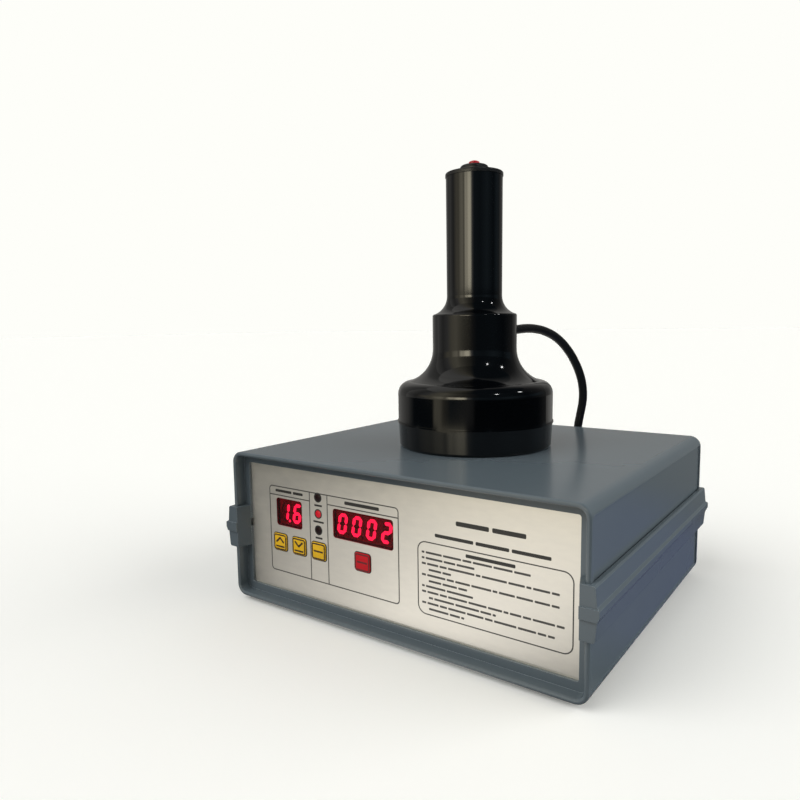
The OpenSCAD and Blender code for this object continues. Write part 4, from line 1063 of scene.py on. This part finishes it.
@dataclass
class ControlPanel(SubAssembly):
    """The film, its print, the windows, digits, lamps and keys.

    Lengths are in millimetres, angles in degrees, and what ends in round or share is a share of
    the length that it goes with.
    """

    film_face: float = -109.5
    ink: float = 0.06
    bite: float = 0.02
    line: float = 0.75
    digit_face: float = -106.8
    digit_z: float = 69.0
    digit_h: float = 14.4
    digit_w: float = 8.0
    segment_t: float = 2.4
    segment_gap: float = 0.35
    segment_depth: float = 0.15
    segment_round: float = 0.42
    slant: float = 10.0
    point_r: float = 1.0
    point_gap: float = 0.5
    point_round: float = 0.99
    lamp_x: float = -60.5
    lamp_z: tuple[float, float, float] = (84.5, 73.0, 61.5)
    ring_d: float = 6.9
    ring_t: float = 0.95
    ring_round: float = 0.49
    key_face: float = -110.4
    key_z: float = 46.6
    key_w: float = 12.8
    key_h: float = 12.0
    key_corner: float = 1.8
    key_rim: float = 1.5
    key_edge: float = 0.35
    key_edge_steps: int = 3
    key_sharp_edge: float = 35.0
    key_smooth_edge: float = 30.0
    key_flat_edge: float = 0.5
    key_merge: float = 0.002
    sign_w: float = 12.2
    sign_h: float = 11.4
    sign_corner: float = 1.6
    sign_line: float = 1.0
    label_w: float = 8.6
    label_h: float = 1.2
    label_drop: float = 3.2
    stroke_corner: float = 0.3
    chevron_x: float = 1.75
    chevron_z: float = 1.6
    chevron_w: float = 5.4
    chevron_h: float = 1.4
    chevron_turn: float = 42.0
    box_x: Span = (-108.0, 8.0)
    box_z: Span = (24.5, 87.7)
    box_corner: float = 3.0
    dividers: Span = (-68.3, -52.0)
    rule_z: float = 81.0
    note_x: Span = (22.0, 122.6)
    note_z: Span = (23.5, 70.0)
    note_corner: float = 6.0
    note_top: float = 6.9
    note_margin: float = 3.2
    row_pitch: float = 3.55
    row_h: float = 1.3
    gap_share: float = 0.75
    word_round: float = 0.25
    lit: dict[str, str] = field(default_factory=lambda: {
        "0": "abcdef", "1": "bc", "2": "abdeg", "6": "acdefg",
    })
    rows: Sequence[DigitRow] = (
        DigitRow("time", (-94.5, -82.5), "16", point_after=0),
        DigitRow("count", (-40.3, -27.9, -15.5, -3.1), "0002"),
    )
    keys: Sequence[PanelKey] = (
        PanelKey("key_increase", Body.INCREASE, -97.8, KeyMark.UP),
        PanelKey("key_reduce", Body.REDUCE, -79.2, KeyMark.DOWN),
        PanelKey("key_power", Body.POWER, -60.5, KeyMark.BAR),
        PanelKey("key_reset", Body.RESET, -21.7, KeyMark.BAR, KEY_RED, "key_red", KEY_DARK_RED),
    )
    headings: Sequence[Heading] = (
        Heading(-88.2, 84.3, 1.9, (16.0, 9.5)),
        Heading(-22.0, 84.3, 2.3, (29.0,)),
        Heading(-60.3, 78.9, 1.3, (7.0,)),
        Heading(-60.3, 67.4, 1.3, (9.6,)),
        Heading(-60.3, 56.0, 1.3, (6.4,)),
        Heading(72.2, 84.6, 2.8, (22.0, 21.0)),
        Heading(72.2, 74.9, 2.1, (26.5, 21.5, 23.5)),
        Heading(72.3, 66.3, 2.1, (32.0,)),
    )
    # Each row's indent and the lengths of its bars
    note_rows: Sequence[tuple[float, Sequence[float]]] = (
        (0, (2, 11.5, 12.5, 6, 12.5, 12, 10)),
        (0, (2, 12, 8, 12)),
        (0, (3, 8, 5, 18, 3, 16, 10, 3, 10, 4.5)),
        (5, (9, 6)),
        (0, (3, 13, 5, 10, 13, 3, 10, 10, 9, 4.5)),
        (5, (9, 10, 6)),
        (0, (2, 14, 18)),
        (0, (3, 8, 5, 13, 12, 9, 3, 7, 5, 13, 4.5)),
        (5, (3, 14, 16, 7, 2)),
        (0, (3, 8, 5, 12, 11, 5, 14, 11, 5, 4)),
        (5, (14, 7, 2)),
    )
    finishes: dict[str, Finish] = field(default_factory=lambda: {
        "front_panel": PLATE, "panel_film": FILM, "count_window": PANE, "time_window": PANE,
        "count_display": DISPLAY, "time_display": DISPLAY, "lamp_high": LAMP_DARK,
        "lamp_middle": LAMP_LIT, "lamp_low": LAMP_DARK, "key_increase": KEY_YELLOW,
        "key_reduce": KEY_YELLOW, "key_power": KEY_YELLOW, "key_reset": KEY_RED,
        "key_switches": COMPONENT, "control_board": BOARD, "control_spacers": BRASS,
        "control_screws": STEEL,
    })

    def film_print(self, name: str, ink: Finish) -> FlatPrint:
        """Starts a print on the film."""
        return FlatPrint(name, self.film_face + self.bite, self.ink, ink, Body.CASE, "film")

    def words(
        self, printed: FlatPrint, left: float, z: float, height: float, lengths: Sequence[float],
    ) -> None:
        """Draws a row of bars that stand for words.

        Args:
            printed: The print that they belong to.
            left: Left end of the row.
            z: Height of the row's middle.
            height: Height of the bars.
            lengths: Length of each bar.
        """
        for length in lengths:
            corner = self.word_round * height
            printed.bar(left + length / 2, z, length, height, corner=corner)
            left += length + self.gap_share * height

    def print_outlines(self) -> None:
        """Prints the two boxes and the lines that divide the left one."""
        printed = self.film_print("panel_outlines", SOFT_INK)
        with printed.drawing():
            for (left, right), (low, high), corner in (
                (self.box_x, self.box_z, self.box_corner),
                (self.note_x, self.note_z, self.note_corner),
            ):
                printed.bar(
                    (left + right) / 2, (low + high) / 2, right - left, high - low,
                    corner=corner, steps=6, line=self.line,
                )
            low, high = self.box_z
            for x in self.dividers:
                printed.bar(x, (low + high) / 2, self.line, high - low - self.line)
            left, right = self.box_x
            for start, end in ((left, self.dividers[0]), (self.dividers[1], right)):
                printed.bar((start + end) / 2, self.rule_z, end - start - self.line, self.line)

    def print_headings(self) -> None:
        """Prints the bars that stand for the headings."""
        printed = self.film_print("panel_headings", INK)
        with printed.drawing():
            for row in self.headings:
                gaps = self.gap_share * row.height * (len(row.lengths) - 1)
                left = row.x - (sum(row.lengths) + gaps) / 2
                self.words(printed, left, row.z, row.height, row.lengths)

    def print_rims(self) -> None:
        """Prints the rings round the lamps and the rims round the keys."""
        printed = self.film_print("lamp_and_key_rims", INK)
        with printed.drawing():
            for z in self.lamp_z:
                printed.bar(
                    self.lamp_x, z, self.ring_d, self.ring_d,
                    corner=self.ring_round * self.ring_d, steps=8, line=self.ring_t,
                )
            for key in self.keys:
                printed.bar(
                    key.x, self.key_z, self.key_w + self.key_rim, self.key_h + self.key_rim,
                    corner=self.key_corner + self.key_rim / 2, steps=5, line=self.key_rim / 2,
                )

    def print_notes(self) -> None:
        """Prints the bars that stand for the notes in the right box."""
        printed = self.film_print("panel_notes", SOFT_INK)
        with printed.drawing():
            for number, (indent, lengths) in enumerate(self.note_rows):
                left = self.note_x[0] + self.note_margin + indent
                z = self.note_z[1] - self.note_top - number * self.row_pitch
                self.words(printed, left, z, self.row_h, lengths)

    def add_segment(self, printed: FlatPrint, letter: str, centre_x: float) -> None:
        """Adds one bar of a digit.

        Args:
            printed: The bars that it belongs to.
            letter: The bar's usual letter, a to g.
            centre_x: Middle of the digit.
        """
        reach, rise = (self.digit_w - self.segment_t) / 2, (self.digit_h - self.segment_t) / 2
        upright = letter in "bcef"
        x = reach * (1 if letter in "bc" else -1 if letter in "ef" else 0)
        half_way = rise / 2 if letter in "bf" else -rise / 2
        z = {"a": rise, "g": 0.0, "d": -rise}.get(letter, half_way)
        long = (rise if upright else 2 * reach) - self.segment_gap
        width, height = (self.segment_t, long) if upright else (long, self.segment_t)
        slant = math.radians(self.slant)
        printed.bar(
            centre_x + x + z * math.tan(slant), self.digit_z + z, width, height,
            turn=-slant if upright else 0.0, corner=self.segment_round * self.segment_t, steps=1,
        )

    def add_point(self, printed: FlatPrint, centre_x: float) -> None:
        """Adds the round point at the foot of a digit.

        Args:
            printed: The bars that it belongs to.
            centre_x: Middle of the digit.
        """
        across = 2 * self.point_r
        drop = (self.digit_h - across) / 2
        lean = drop * math.tan(math.radians(self.slant))
        x = centre_x + self.digit_w / 2 + self.point_r - lean + self.point_gap
        printed.bar(
            x, self.digit_z - drop, across, across,
            corner=self.point_round * self.point_r, steps=6,
        )

    def digits(self) -> None:
        """Makes the lit and the dark bars of the displays."""
        for row in self.rows:
            for state, finish in (("lit", SEGMENT_LIT), ("dark", SEGMENT_DARK)):
                printed = FlatPrint(
                    f"{row.name}_bars_{state}", self.digit_face + self.bite, self.segment_depth,
                    finish, Body.CASE, "display",
                )
                lit = state == "lit"
                with printed.drawing():
                    for place, (x, digit) in enumerate(zip(row.centres, row.shows)):
                        for letter in "abcdefg":
                            if (letter in self.lit[digit]) == lit:
                                self.add_segment(printed, letter, x)
                        if (place == row.point_after) == lit:
                            self.add_point(printed, x)

    def key_cap(self, key: PanelKey) -> None:
        """Makes a key's cap from a copy of its solid, with softened edges.

        Args:
            key: The key.
        """
        cap = Bench.blank(key.node + "_moulded")
        cap.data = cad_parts[key.node].data.copy()
        with Bench.editing(cap):
            bpy.ops.mesh.select_all(action="SELECT")
            bpy.ops.mesh.customdata_custom_splitnormals_clear()
            bpy.ops.mesh.remove_doubles(threshold=self.key_merge * MM)
            bpy.ops.mesh.dissolve_limited(angle_limit=math.radians(self.key_flat_edge))
            bpy.ops.mesh.select_all(action="DESELECT")
            bpy.ops.mesh.select_mode(type="EDGE")
            bpy.ops.mesh.edges_select_sharp(sharpness=math.radians(self.key_sharp_edge))
            bpy.ops.mesh.bevel(
                offset=self.key_edge * MM, segments=self.key_edge_steps, profile=ROUND_PROFILE,
                clamp_overlap=True,
            )
        Bench.pick(cap)
        bpy.ops.object.shade_smooth_by_angle(angle=math.radians(self.key_smooth_edge))
        Bench.mount(cap, key.finish, key.body, key.slot)
        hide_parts(key.node)

    def key_sign(self, key: PanelKey) -> None:
        """Prints a key's rim, the bar that stands for its word, and its chevron.

        Args:
            key: The key.
        """
        printed = FlatPrint(
            key.node + "_sign", self.key_face + self.bite, self.ink, key.ink, key.body, key.slot,
        )
        with printed.drawing():
            printed.bar(
                key.x, self.key_z, self.sign_w, self.sign_h,
                corner=self.sign_corner, steps=4, line=self.sign_line,
            )
            chevron = key.mark is not KeyMark.BAR
            label_z = self.key_z - self.label_drop if chevron else self.key_z
            printed.bar(key.x, label_z, self.label_w, self.label_h, corner=self.stroke_corner)
            if chevron:
                for side in (-1, 1):
                    printed.bar(
                        key.x + self.chevron_x * side, self.key_z + self.chevron_z,
                        self.chevron_w, self.chevron_h, corner=self.stroke_corner,
                        turn=-side * key.mark.value * math.radians(self.chevron_turn),
                    )

    def build(self) -> None:
        """Dresses the panel, prints it, lights its digits and makes its keys."""
        super().build()
        self.print_outlines()
        self.print_headings()
        self.print_rims()
        self.print_notes()
        self.digits()
        for key in self.keys:
            self.key_cap(key)
            self.key_sign(key)


@dataclass
class SealingHead(SubAssembly):
    """The head with its handle, cap, trigger and strain relief, and the cord's plain solids."""

    finishes: dict[str, Finish] = field(default_factory=lambda: {
        "head_body": HEAD_PLASTIC, "coil_cover": HEAD_PLASTIC, "coil_former": FORMER,
        "induction_coil": WINDING, "ferrite_bars": FERRITE, "cover_screws": STEEL,
        "handle_cap": CAP_PLASTIC, "trigger_bezel": CAP_PLASTIC, "trigger_button": TRIGGER_RED,
        "trigger_nut": STEEL, "trigger_switch": COMPONENT, "cord_boot": BLACK_PLASTIC,
        "cord_tie": TIE, "head_cord": CORD_RUBBER, "cord_coil": CORD_RUBBER,
        "cord_tail": CORD_RUBBER,
    })


@dataclass
class RearPanel(SubAssembly):
    """The rear plate with its fan, inlet, switch and gland. Lengths are in millimetres."""

    plate_face: float = 109.5
    ink: float = 0.06
    bite: float = 0.02
    switch_x: float = -96.0
    switch_z: float = 78.0
    mark_drop: float = 17.2
    mark_h: float = 3.4
    mark_w: float = 2.8
    mark_t: float = 0.6
    mark_round: float = 0.48
    finishes: dict[str, Finish] = field(default_factory=lambda: {
        "rear_panel": PLATE, "fan_frame": BLACK_PLASTIC, "fan_rotor": BLACK_PLASTIC,
        "fan_guard": BLACK_PLASTIC, "fan_screws": STEEL, "mains_inlet": BLACK_PLASTIC,
        "inlet_pins": STEEL, "inlet_screws": STEEL, "switch_frame": BLACK_PLASTIC,
        "switch_rocker": ROCKER_RED, "cable_gland": BLACK_PLASTIC, "gland_locknut": BLACK_PLASTIC,
    })

    def marks(self) -> None:
        """Prints the on and off signs above and below the switch."""
        printed = FlatPrint(
            "switch_signs", self.plate_face - self.bite, self.ink, INK, Body.CASE, "plate",
            facing=-QUARTER_TURN,
        )
        with printed.drawing():
            printed.bar(self.switch_x, self.switch_z + self.mark_drop, self.mark_t, self.mark_h)
            printed.bar(
                self.switch_x, self.switch_z - self.mark_drop, self.mark_w, self.mark_h,
                corner=self.mark_round * self.mark_w, steps=6, line=self.mark_t,
            )

    def build(self) -> None:
        """Dresses the rear and prints the switch's signs."""
        super().build()
        self.marks()


@dataclass
class PowerBoard(SubAssembly):
    """The board inside the case and what stands on it."""

    finishes: dict[str, Finish] = field(default_factory=lambda: {
        "power_board": BOARD, "power_board_screws": STEEL, "heat_sink": SINK,
        "power_transistors": COMPONENT, "bridge_rectifier": COMPONENT,
        "filter_capacitors": CAPACITOR, "resonant_capacitors": FILM_CAPACITOR,
        "line_choke": WINDING, "supply_transformer": WINDING,
    })


def main() -> None:
    """Builds the camera, the cord, the studio and each sub-assembly in turn."""
    logging.basicConfig(level=logging.INFO, format="%(name)s: %(message)s")
    for assembly in (
        PhotoCamera(), HeadCord(), Studio(), CaseShells(), ControlPanel(), SealingHead(),
        RearPanel(), PowerBoard(),
    ):
        assembly.build()
        log.info("built %s", type(assembly).__name__)


if __name__ == "__main__":
    main()
